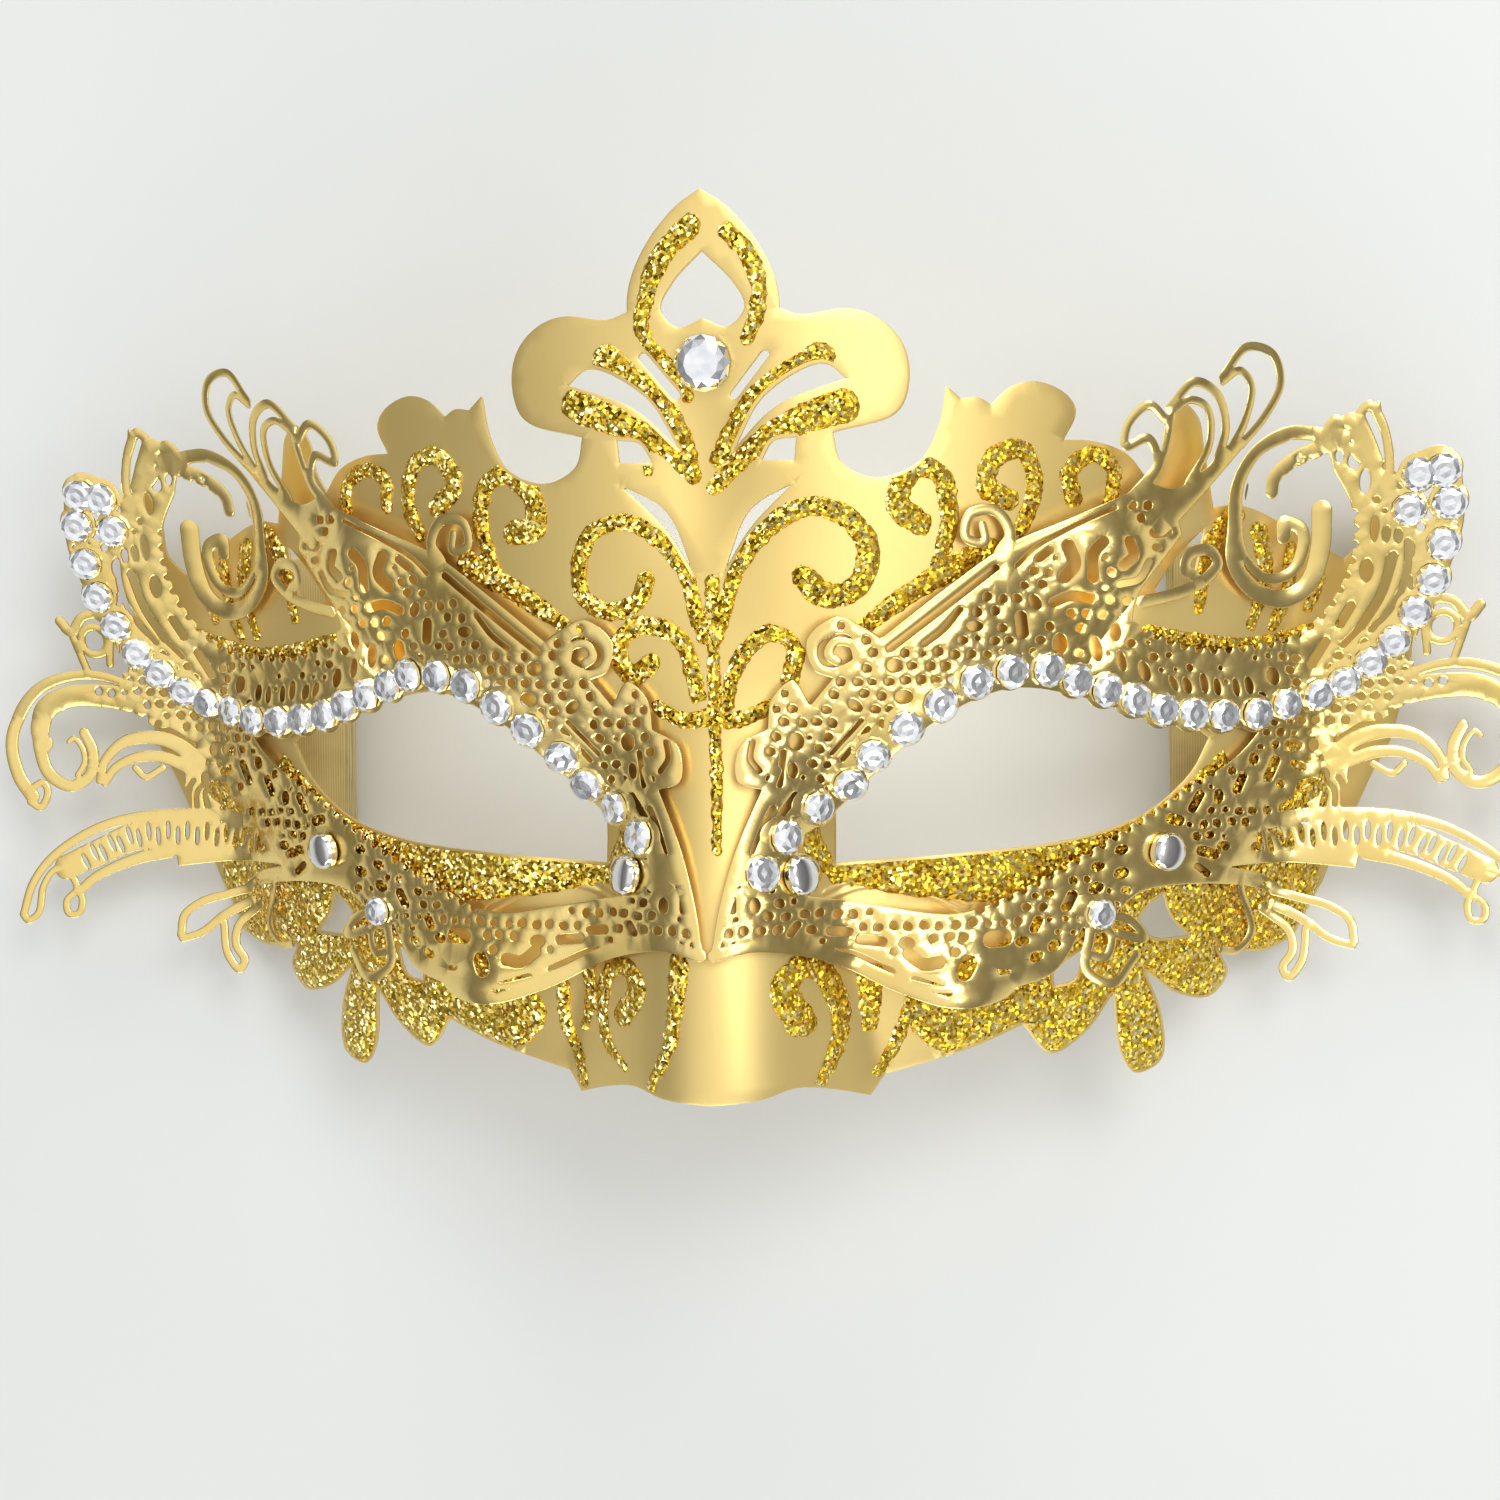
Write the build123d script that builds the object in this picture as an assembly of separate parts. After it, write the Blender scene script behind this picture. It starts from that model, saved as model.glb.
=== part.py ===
from build123d import *
import math
import os

os.makedirs("parts", exist_ok=True)

# A venetian masquerade mask lying face up. X runs across the face, Y up the
# forehead, Z out of the face. All sizes are in mm. Outlines are drawn for the
# right half, where x is the distance from the mirror plane x = 0.

# Driving dimensions
SHELL_THICKNESS = 1.2
FILIGREE_THICKNESS = 0.6
END_ROUNDING = 0.46           # radius of a strand's round end over its width
FILIGREE_GAP = 2.3          # shell's lower face to the filigree's lower face
GLITTER_THICKNESS = 0.4
GLUE_LIFT = 0.05            # hairline between a glued piece and its seat
STONE_CLEARANCE = 0.4       # keeps a flat-backed stone clear of the bowed filigree
CROWN_HEIGHT = 43.2         # inner face height at the eye line, x = 0
FACE_RADIUS = 66.0
GRID_STEP = 3.0             # spacing of the points that shape the pressed faces
HALF_WIDTH = 96.0
FILIGREE_HALF_WIDTH = 112.0
Y_LOW = -54.0
Y_HIGH = 69.0
TALL = 90.0                 # height of the cutting prisms

STONE_DIAMETER = 4.4
FLOWER_STONE_DIAMETER = 4.0
GEM_DIAMETER = 6.8
RIVET_CAP_DIAMETER = 5.0
RIVET_CAP_HEIGHT = 1.9
RIVET_POST_DIAMETER = 1.6
RIVET_HOLE_DIAMETER = 2.1
RIVET_BACK_DIAMETER = 5.0
RIVET_BACK_HEIGHT = 0.9
TAB_RADIUS = 2.5            # scalloped seat round each stone

RIBBON_WIDTH = 10.0
RIBBON_THICKNESS = 0.35
RIBBON_PITCH = 0.8          # from one folded layer to the next
RIBBON_RUNS = 9
RIBBON_RUN_LENGTH = 44.0
RIBBON_EDGE_X = 57.0        # inner edge of the folded ribbon
RIBBON_REST = 0.4           # underside of the lowest layer above the table
RIBBON_CENTRE_Y = 2.0
GLUE_PAD = (62.0, 14.0)
GLUE_PAD_DIAMETER = 8.0
GLUE_PAD_HEIGHT = 1.0

CROWN_GEM = (0.0, 43.5)
RIVETS = {"nose": (10.0, -17.75), "cheek": (54.75, -15.75)}
FLOWER_STONE = (46.5, -23.5)

# Stones along the brow, in four groups from the temple to the nose
STONES = {
    "tip": [(90, 32.5), (87, 32), (91, 28.5), (86, 27.75)],
    "temple": [(90.5, 23.5), (89.5, 19), (87.5, 15), (85, 11.25), (82.25, 8.5), (79, 6), (75.5, 4.25)],
    "brow": [(71, 3), (67, 1.75), (62.5, 1.5), (58.5, 1.75), (54.5, 2.25), (51, 3.5), (47.25, 4.75), (43.5, 6)],
    "nose": [(40, 7.25), (35.5, 7), (31.25, 5.75), (27, 3), (23, 0.25), (19, -3), (16, -6.5),
             (12, -9.5), (8.5, -13), (6, -17.25)],
}

# Outlines. Each run is one smooth curve, and runs meet at corners.
SHELL_EDGE = [
    [(0, 63), (3, 61), (6.5, 57), (8.5, 53), (9, 50.5), (9, 49.25)],
    [(9, 49.25), (11.5, 48.5), (17, 49.25), (20.5, 48.25), (23.25, 45.5), (24, 41.5), (22.5, 37.5), (15, 35)],
    [(15, 35), (16, 31.5), (20, 29.75), (25, 31.75), (27.25, 35.75), (28.25, 40.75)],
    [(28.25, 40.75), (30, 39.25)],
    [(30, 39.25), (32, 39.5), (33.5, 38.75)],
    [(33.5, 38.75), (36, 41), (39, 41.75), (42.5, 40.5), (43.75, 38.5), (42.25, 35)],
    [(42.25, 35), (46, 35), (50, 33.75), (52.5, 31)],
    [(52.5, 31), (54.25, 34), (55, 37.5), (57.5, 40.25), (59.25, 38.75), (60, 35), (61.25, 27.75)],
    [(61.25, 27.75), (65, 28.25), (72, 25.5), (79.25, 22)],
    [(79.25, 22), (82, 25), (82, 30), (83.75, 34.25)],
    [(83.75, 34.25), (87, 31.5), (90.25, 20), (89.5, 12), (88.25, 2), (83.75, -7), (78.5, -19), (73.25, -28.5)],
    [(73.25, -28.5), (69, -30), (62.5, -29.25)],
    [(62.5, -29.25), (64, -32.5), (61.5, -35.5), (57, -34.75), (52.75, -31.5)],
    [(52.75, -31.5), (55, -37.5), (55, -43.5), (51.5, -45), (49.5, -42), (48.5, -34.25)],
    [(48.5, -34.25), (45, -39), (40.5, -41.5), (37, -37.5)],
    [(37, -37.5), (31, -40), (20, -43)],
    [(20, -43), (18.25, -45.5)],
    [(18.25, -45.5), (14, -44), (10, -43.25), (6, -44.25), (0, -44.75)],
]
EYE_HOLE = [
    [(14.25, -8.5), (14.25, -16.5)],
    [(14.25, -16.5), (28.5, -15.5), (43, -14), (52.5, -11), (58.5, -6), (61, -1.5)],
    [(61, -1.5), (55, 3), (43.5, 8.25), (37, 8.75), (27.5, 5.75), (20, -0.5), (14.25, -8.5)],
]
# Half of the heart: the other half is its mirror image
HEART_EDGE = [
    [(0, 56), (3.5, 52.5), (5, 49.5), (3, 47.25), (0, 48.25)],
]
CRESCENT_HOLE = [
    [(16.75, 41.25), (14, 43), (7, 39.25), (3.25, 33.25)],
    [(3.25, 33.25), (8.5, 38), (16.75, 41.25)],
]
WEDGE_HOLE = [
    [(10.75, 34.5), (8, 34), (6.5, 31.75)],
    [(6.5, 31.75), (10.5, 31.75)],
    [(10.5, 31.75), (10.75, 34.5)],
]
SLIT_HOLE = [
    [(10.5, 29.25), (5, 26), (1.75, 18.5)],
    [(1.75, 18.5), (5, 23.75), (10.5, 29.25)],
]
SIDE_HOLE = [
    [(60, 25), (57, 22), (53.5, 17)],
    [(53.5, 17), (58.25, 17)],
    [(58.25, 17), (60, 25)],
]
CHEEK_HOLE_A = [
    [(55, -21.5), (52, -24.5), (53.5, -27), (58.5, -27.25)],
    [(58.5, -27.25), (56, -24.5), (55, -21.5)],
]
CHEEK_HOLE_B = [
    [(44.75, -28), (41, -31), (41, -32.75)],
    [(41, -32.75), (43.5, -32), (44.75, -28)],
]
SHELL_HOLES = [EYE_HOLE, CRESCENT_HOLE, WEDGE_HOLE, SLIT_HOLE, SIDE_HOLE, CHEEK_HOLE_A, CHEEK_HOLE_B]

RING_EDGE = [
    [(53, 30), (44, 25.75), (35.5, 22), (28.5, 17), (20.5, 10.75)],
    [(20.5, 10.75), (18.5, 12), (15.25, 13.25), (11.75, 10.5), (12.5, 7), (14.75, 6)],
    [(14.75, 6), (12, 2.75)],
    [(12, 2.75), (10, 5.75), (7.5, 3.5), (7, 0)],
    [(7, 0), (3.75, -2), (3.5, -6.25), (6.25, -7.25)],
    [(6.25, -7.25), (3.25, -14.5), (1.25, -22), (0.5, -27.25)],
    [(0.5, -27.25), (5.5, -26), (13, -27), (22, -31.25), (30, -33.25)],
    [(30, -33.25), (35, -32.25), (41, -30.5), (45, -24.5)],
    [(45, -24.5), (48, -24), (52, -21), (58, -20.25), (65, -20.75), (72, -22.25)],
    [(72, -22.25), (68.5, -19.5), (63.5, -18.25)],
    [(63.5, -18.25), (72, -18), (80.75, -18.75)],
    [(80.75, -18.75), (81, -17.25)],
    [(81, -17.25), (85, -17)],
    [(85, -17), (85, -12)],
    [(85, -12), (79.5, -11.5)],
    [(79.5, -11.5), (79.75, -5.5)],
    [(79.75, -5.5), (78, -2.75), (79, 1.5)],
    [(79, 1.5), (84, 0.75), (87.5, 4.5), (88, 11.5), (91, 18.5), (93, 26), (92.25, 33)],
    [(92.25, 33), (90, 35.25), (86, 34), (83.25, 30.5)],
    [(83.25, 30.5), (83, 35), (81.75, 40.75)],
    [(81.75, 40.75), (79.5, 39.5)],
    [(79.5, 39.5), (77.5, 39), (75.5, 37), (76.5, 32.5)],
    [(76.5, 32.5), (79, 28), (79.25, 22), (76.5, 15.5), (72, 11.75), (66.5, 10.5), (60, 10), (55, 11.25),
     (50.75, 13.25)],
    [(50.75, 13.25), (51.25, 16), (54.75, 21), (57, 24)],
    [(57, 24), (56.5, 27), (60, 30), (63.75, 35)],
    [(63.75, 35), (59, 31.5), (56, 29.5), (53, 30)],
]
RING_EYE = [
    [(54, 0.5), (60, -0.25), (68.25, 0)],
    [(68.25, 0), (64.5, -4), (56, -9), (48, -14), (36.5, -20.25), (29.5, -22.75), (20, -21.75), (9, -19.75)],
    [(9, -19.75), (6.75, -15.75), (12.5, -11.75), (19.5, -5.25), (27, 1), (35.5, 4.75), (43.5, 4), (54, 0.5)],
]

# Filigree strands, each a width and a centre line
STRANDS = {
    "top_loop": (1.0, [(64.5, 35.25), (67.5, 39), (69, 42.5), (67.75, 45.75), (64.5, 46.25), (61.5, 42.5)]),
    "top_hook": (0.9, [(63, 34.5), (64.75, 38), (65.25, 42), (63.75, 43.5), (61.5, 42)]),
    "middle_loop": (1.0, [(61.5, 33.5), (62.25, 37), (61, 40.5), (58, 41.75), (55, 38.75)]),
    "inner_loop": (0.9, [(57.75, 30.25), (60.25, 35), (59.75, 39), (57.5, 39.75), (55.75, 38.5)]),
    "small_loop": (1.0, [(54.75, 37.25), (52.5, 39), (50, 36.75), (49.75, 34.25), (52, 33.5)]),
    "loop_foot": (1.0, [(52, 33.5), (52, 31), (50, 27.75)]),
    "loop_stem": (0.9, [(55.25, 39), (55, 35.75), (53.75, 31.5), (51.75, 29)]),
    "spine": (1.8, [(63.75, 35), (59.25, 30), (54.25, 24.75)]),
    "volute": (1.2, [(34.5, 21), (35.75, 23.25), (34, 26), (31, 25.5), (30.5, 22.75), (32.25, 21.75)]),
    "spiral": (2.0, [(75, 36.75), (70.5, 36.75), (66.5, 34.25), (64.25, 30), (64, 25), (64, 20.75), (67, 17.25),
                     (71, 16.5), (74, 18.5), (75.25, 22.5), (75.25, 27.5)]),
    "inner_spiral": (1.4, [(65.25, 30.5), (64.5, 25.75), (65.5, 21.5), (68.5, 19), (71.5, 19.75), (73, 22.75),
                           (72, 26)]),
    "crest_outer": (1.0, [(83.5, 29.5), (83.25, 34.5), (82, 38.5), (80.5, 40)]),
    "crest_back": (1.0, [(80.5, 40), (79.25, 38.5), (80.75, 35.75), (82.25, 33.25)]),
    "crest_inner": (1.0, [(82, 31.25), (80.75, 34.75), (78.25, 37.75), (76, 38)]),
    "spiral_lace": (2.0, [(80, 34.5), (77, 35.75), (73.75, 34.75), (70.75, 33.25), (69, 31.5), (68.75, 29.75)]),
    "scroll": (1.4, [(52, 15.5), (56.5, 16.75), (60, 18.5), (61.75, 20.75), (60.5, 22.25), (58, 21.5)]),
    "finial_arch": (1.0, [(95.75, 15.5), (94.25, 14.25), (92, 16), (89.5, 15.5), (89, 13), (89.5, 9.5)]),
    "finial_stem": (1.0, [(94, 14.5), (93.75, 11.5), (92.75, 8)]),
    "wing_top": (1.6, [(84.5, 5.75), (91.75, 8), (96.5, 7.75), (100.75, 6), (104, 2.5), (105.25, -1.25),
                       (104.25, -6), (102, -9.75)]),
    "wing_end": (1.0, [(102, -9.75), (100.25, -9.25), (100.5, -7.25)]),
    "wing_lace": (3.2, [(78, 0.5), (80.5, 2), (84.5, 3.5), (88.5, 4.75), (92.75, 5.25), (96.5, 5), (100, 3.25),
                        (101, 0.75)]),
    "wing_curl": (1.8, [(101, 0.75), (101, -2.25), (99.75, -5.75), (96.5, -7.5), (93.75, -6), (93.25, -2.75),
                        (94.5, 0)]),
    "leaf_top": (1.4, [(92.25, -6.75), (91.5, -4), (88.5, -1.25), (84, -0.75), (80.75, -1.75), (77.75, -4)]),
    "leaf_bottom": (1.4, [(91.5, -7), (90, -5), (86.75, -3.5), (83, -3.5), (79, -5)]),
    "ladder_top": (1.4, [(103.75, -25.75), (102.25, -21.25), (99.25, -17.5), (93.25, -13.75), (84, -12.5)]),
    "ladder_middle": (3.0, [(97, -19), (92.75, -17), (87.25, -15), (81.25, -14.5)]),
    "ladder_bottom": (1.4, [(95.5, -22.5), (92.75, -20.25), (86.75, -17.75), (82, -16.25)]),
    "ladder_loop": (1.0, [(103.75, -25.75), (101.5, -24.75), (100.75, -21.75), (98.75, -18.75)]),
    "ladder_hook": (1.0, [(97.25, -19), (95.75, -22), (97, -25.5)]),
    "tail_long": (1.1, [(80.5, -28.5), (80, -25.75), (77.25, -23.75), (73.75, -22.75), (70, -21.75)]),
    "tail_long_low": (1.2, [(80.5, -28.5), (77.25, -28), (74.25, -25.75), (70, -23.5)]),
    "tail_hook": (1.1, [(73.25, -33.25), (73.5, -28.5), (71.5, -25.5), (68.5, -23)]),
    "tail_short": (1.0, [(65.5, -21), (67, -27), (65, -29.5), (63, -29.25)]),
    "flower_right": (1.1, [(46, -23.75), (50.5, -24.5), (52.25, -27)]),
    "flower_left": (1.0, [(46.25, -24), (48.25, -26.5), (47.5, -29), (44.75, -28.5)]),
    "flower_base": (1.1, [(51.5, -29), (48.5, -32.25), (45, -30.5), (45.5, -26), (45.5, -23)]),
}

# Larger slots of the lace, each a width and a centre line
SLOTS = [
    (0.9, [(34, 19.25), (28, 14.5), (21.5, 9.5)]),
    (2.3, [(16.5, 8.75), (14, 8.75)]),
    (1.5, [(42.75, 22), (42.25, 18.25)]),
    (1.3, [(50.25, 22.75), (49.5, 19.75)]),
    (1.4, [(46.5, 22.25), (45.75, 18.25)]),
    (1.2, [(45.5, 15.75), (41, 15.25)]),
    (1.4, [(37, 13.5), (37.25, 11.5)]),
    (1.2, [(83, 19), (81, 14)]),
    (1.8, [(75.25, -8.5), (71.5, -11)]),
    (1.3, [(61.5, -16.5), (60, -16.25)]),
    (2.0, [(34.75, -26), (33.25, -26)]),
    (1.5, [(27, -28.5), (23.5, -27.5)]),
    (1.3, [(20, -26.25), (17.5, -25.75)]),
    (1.2, [(16, -24.75), (14, -24.5)]),
]

# Raised glitter-glue lines on the shell, each a width and a centre line
GLITTER = {
    "crown": [
        (2.0, [(2.75, 58.5), (5.75, 54), (6.75, 49), (4.75, 44.5)]),
        (2.4, [(14, 45.5), (8, 43), (3.75, 38), (1.6, 31.5)]),
        (2.2, [(19, 39.5), (12, 37), (5, 34)]),
    ],
    "brow": [
        (2.0, [(1.8, 19.5), (5, 24.5), (10, 26.5), (15, 24.5), (15.5, 18.5), (11, 16)]),
        (2.0, [(28.5, 22), (29.5, 31), (31, 36)]),
        (2.0, [(39, 28), (38, 34), (35.5, 37.5)]),
        (1.8, [(49, 24.5), (48, 30), (45, 32)]),
    ],
    "temple": [
        (2.0, [(63, 25.5), (62, 21), (63, 14)]),
        (2.0, [(69, 21), (70, 13)]),
    ],
    "cheek": [
        (2.6, [(24, -20.75), (34, -19.5), (44, -18), (52, -14.5)]),
        (2.2, [(57, -33), (61, -32)]),
        (2.2, [(52, -37), (52.5, -42)]),
        (2.2, [(44, -36.5), (41, -39)]),
    ],
    "nose": [
        (2.0, [(4, -28), (5, -33), (8, -40)]),
        (1.8, [(12, -30), (10, -34), (12.5, -40)]),
        (1.6, [(18.5, -31), (18.25, -34.5), (17.25, -38)]),
    ],
}


def smooth_step(value, start, end):
    s = min(1.0, max(0.0, (value - start) / (end - start)))
    return s * s * (3 - 2 * s)


def hill(x, y, centre_x, centre_y, reach_x, reach_y):
    return math.exp(-((x - centre_x) / reach_x) ** 2 - ((y - centre_y) / reach_y) ** 2)


def shell_height(x, y):
    """Inner face of the pressed shell: a hooped face with nose, sockets and temples."""
    x = abs(x)
    hoop = math.hypot(FACE_RADIUS, 1.05 * x) - FACE_RADIUS
    z = CROWN_HEIGHT + 0.165 * y - 0.0006 * y * y - hoop
    nose_height = 13 * smooth_step(-y, -14, 52)
    nose_half_width = min(11 + 0.21 * max(0, -y), 20.5)
    if x < nose_half_width:
        z += nose_height * (1 - (x / nose_half_width) ** 2) ** 1.5
    z -= 4.5 * hill(x, y, 17, -11, 7, 9)
    z -= 2.5 * hill(x, y, 50, 4, 15, 13)
    z -= 2.0 * hill(x, y, 0, 32, 6.5, 13)
    z += 6.0 * smooth_step(y, 16, 38) * smooth_step(x, 64, 84)
    z -= 1.5 * smooth_step(-y, 0, 24) * smooth_step(x, 58, 74)
    z += 3.3 * smooth_step(x, 76, 90)
    return z


def filigree_height(x, y):
    """Lower face of the filigree: it follows the shell, then flares out as a wing."""
    x = abs(x)
    blend = 3.0
    on_shell = shell_height(x, y) + FILIGREE_GAP
    wing = 8.0 + 0.36 * max(0.0, y - 2)
    share = max(0.0, min(1.0, 0.5 + 0.5 * (wing - on_shell) / blend))
    z = on_shell * (1 - share) + wing * share + blend * share * (1 - share)
    z += 8.5 * hill(x, y, 60, 46, 13, 11)
    z += 3.0 * hill(x, y, 48, 21, 7, 7)
    z += 6.0 * hill(x, y, 30, -34, 9, 7)
    z += 3.0 * hill(x, y, 48, -34, 6, 5)
    return z


def surface_normal(height, x, y):
    reach = 1.5
    slope_x = (height(x + reach, y) - height(x - reach, y)) / (2 * reach)
    slope_y = (height(x, y + reach) - height(x, y - reach)) / (2 * reach)
    return Vector(-slope_x, -slope_y, 1).normalized()


def pressed_sheet(height, lift, thickness, x_low, x_high):
    """A solid sheet that follows a height function, of even thickness along Z."""
    columns = round((x_high - x_low) / GRID_STEP) + 1
    rows = round((Y_HIGH - Y_LOW) / GRID_STEP) + 1
    grid = []
    for i in range(columns):
        x = x_low + i * GRID_STEP
        ys = [Y_LOW + j * GRID_STEP for j in range(rows)]
        grid.append([Vector(x, y, height(x, y) + lift) for y in ys])
    face = Face.make_surface_from_array_of_points(grid)
    return Solid.extrude(face, Vector(0, 0, thickness))


def run_edge(points):
    if len(points) == 2:
        return Edge.make_line(points[0], points[1])
    return Edge.make_spline([Vector(x, y) for x, y in points])


def outline(runs):
    return Wire([run_edge(points) for points in runs])


def mirrored(runs):
    return [[(-x, y) for x, y in reversed(points)] for points in reversed(runs)]


def strand(width, points):
    """A flat strand of even width along a smooth centre line, with round ends."""
    edge = run_edge(points)
    count = 1 if len(points) == 2 else 3 * len(points)
    left, right = [], []
    for i in range(count + 1):
        place = edge.position_at(i / count)
        across = edge.tangent_at(i / count).rotate(Axis.Z, 90) * (width / 2)
        left.append((place.X + across.X, place.Y + across.Y))
        right.append((place.X - across.X, place.Y - across.Y))
    sides = [run_edge(right), Edge.make_line(right[-1], left[-1]), run_edge(left[::-1]),
             Edge.make_line(left[0], right[0])]
    body = Sketch() + Face(Wire(sides))
    for end in (0, 1):
        place = edge.position_at(end)
        body += Pos(place.X, place.Y) * Circle(END_ROUNDING * width)
    return body


def disc(centre, radius):
    return Pos(*centre) * Circle(radius)


def upright(sketch):
    return extrude(sketch, amount=TALL, dir=(0, 0, 1))


def seat(height, lift, place):
    """A frame on the surface at a place, with its z axis along the surface normal."""
    x, y = place
    normal = surface_normal(height, x, y)
    origin = Vector(x, y, height(x, y)) + normal * (lift * normal.Z)
    return Plane(origin=origin, x_dir=(1, 0, 0) if abs(normal.X) < 0.9 else (0, 1, 0), z_dir=normal)


def faceted_stone(plane, diameter):
    """A round flat-back stone: a thin girdle under a faceted crown and table."""
    radius = diameter / 2
    girdle = 0.12 * diameter
    crown = 0.22 * diameter
    base = RegularPolygon(radius, 12)
    stone = extrude(base, girdle)
    crown_low = Pos(0, 0, girdle) * RegularPolygon(radius, 12)
    crown_high = Pos(0, 0, girdle + crown) * RegularPolygon(0.58 * radius, 12)
    stone += loft([crown_low, crown_high])
    return plane.location * stone


def rivet_front(plane, depth):
    """A domed cap with an upright wall, on a post that runs down through the mask."""
    wall = 0.55 * RIVET_CAP_HEIGHT
    radius = RIVET_CAP_DIAMETER / 2
    rise = RIVET_CAP_HEIGHT - wall
    ball = (radius ** 2 + rise ** 2) / (2 * rise)
    cap = extrude(Circle(radius), wall)
    dome = Pos(0, 0, wall + rise - ball) * Sphere(ball)
    keep = Pos(0, 0, wall) * extrude(Circle(radius), rise + 1)
    post = Pos(0, 0, -depth) * extrude(Circle(RIVET_POST_DIAMETER / 2), depth)
    return plane.location * (cap + (dome & keep) + post)


def rivet_back(plane, depth):
    """The flared back washer that the post is set into, inside the mask."""
    washer = Circle(RIVET_BACK_DIAMETER / 2) - Circle(RIVET_POST_DIAMETER / 2 + 0.05)
    return plane.location * Pos(0, 0, -depth) * extrude(washer, RIVET_BACK_HEIGHT)


def rivet_plane(place):
    lift = FILIGREE_THICKNESS + 0.3
    return seat(filigree_height, lift, place)


def rivet_hole(place):
    plane = rivet_plane(place)
    return plane.location * Pos(0, 0, -12) * extrude(Circle(RIVET_HOLE_DIAMETER / 2), 20)


def both_sides(place):
    return [("right", place), ("left", (-place[0], place[1]))]


def biggest(shape):
    """The main solid, without crumbs that a cut leaves at an edge."""
    return max(shape.solids(), key=lambda solid: solid.volume)


def make_shell():
    edge = outline(SHELL_EDGE + mirrored(SHELL_EDGE))
    holes = [outline(HEART_EDGE + mirrored(HEART_EDGE))]
    for runs in SHELL_HOLES:
        holes.append(outline(runs))
        holes.append(outline(mirrored(runs)))
    blank = pressed_sheet(shell_height, 0, SHELL_THICKNESS, -HALF_WIDTH, HALF_WIDTH)
    shell = blank & upright(Face(edge, holes))
    for place in RIVETS.values():
        for side, spot in both_sides(place):
            shell = shell - rivet_hole(spot)
    return biggest(shell)


def make_filigree():
    sheet = Sketch() + Face(outline(RING_EDGE), [outline(RING_EYE)])
    tabs = [spot for group in STONES.values() for spot in group]
    sheet += [disc(spot, TAB_RADIUS) for spot in tabs]
    sheet += [disc(spot, RIVET_CAP_DIAMETER / 2 + 0.3) for spot in RIVETS.values()]
    sheet += disc(FLOWER_STONE, FLOWER_STONE_DIAMETER / 2 + 0.5)
    for width, points in STRANDS.values():
        sheet += strand(width, points)
    for width, points in SLOTS:
        sheet -= strand(width, points)
    x_high = FILIGREE_HALF_WIDTH
    blank = pressed_sheet(filigree_height, 0, FILIGREE_THICKNESS, -2, x_high)
    panel = blank & upright(sheet)
    for place in RIVETS.values():
        panel = panel - rivet_hole(place)
    return biggest(panel)


def make_glitter(lines):
    """Thin raised lines of glitter glue that lie on the shell's outer face."""
    lift = SHELL_THICKNESS + GLUE_LIFT
    blank = pressed_sheet(shell_height, lift, GLITTER_THICKNESS, -HALF_WIDTH, HALF_WIDTH)
    pieces = []
    for width, points in lines:
        pieces += (blank & upright(strand(width, points))).solids()
    return pieces


def make_ribbon():
    """A ribbon folded back and forth in a flat stack, under the temple."""
    half_run = RIBBON_RUN_LENGTH / 2
    profile = Sketch()
    for run in range(RIBBON_RUNS):
        level = run * RIBBON_PITCH
        profile += Pos(0, level) * Rectangle(RIBBON_RUN_LENGTH, RIBBON_THICKNESS)
        if run < RIBBON_RUNS - 1:
            end = half_run if run % 2 == 0 else -half_run
            bend = Circle((RIBBON_PITCH + RIBBON_THICKNESS) / 2) - Circle((RIBBON_PITCH - RIBBON_THICKNESS) / 2)
            side = 1 if end > 0 else -1
            keep = Pos(side * RIBBON_PITCH, 0) * Rectangle(2 * RIBBON_PITCH, 4 * RIBBON_PITCH)
            profile += Pos(end, level + RIBBON_PITCH / 2) * (bend & keep)
    base = Plane(origin=(RIBBON_EDGE_X, RIBBON_CENTRE_Y, RIBBON_REST + RIBBON_THICKNESS / 2),
                 x_dir=(0, 1, 0), z_dir=(1, 0, 0))
    return base.location * extrude(profile, RIBBON_WIDTH)


def make_glue_pad():
    """A pressed dot of glue on the shell's inner face that holds the ribbon's end."""
    plane = seat(shell_height, -GLUE_PAD_HEIGHT - GLUE_LIFT, GLUE_PAD)
    return plane.location * extrude(Circle(GLUE_PAD_DIAMETER / 2), GLUE_PAD_HEIGHT / 2)


def save(name, shapes, centre_y):
    """Writes one node, from one solid or a list of solids, about the part's origin."""
    solids = shapes if isinstance(shapes, list) else [shapes]
    placed = [Pos(0, -centre_y, 0) * solid for solid in solids]
    whole = placed[0] if len(placed) == 1 else Compound(children=placed)
    export_step(whole, f"parts/{name}.step")


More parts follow.
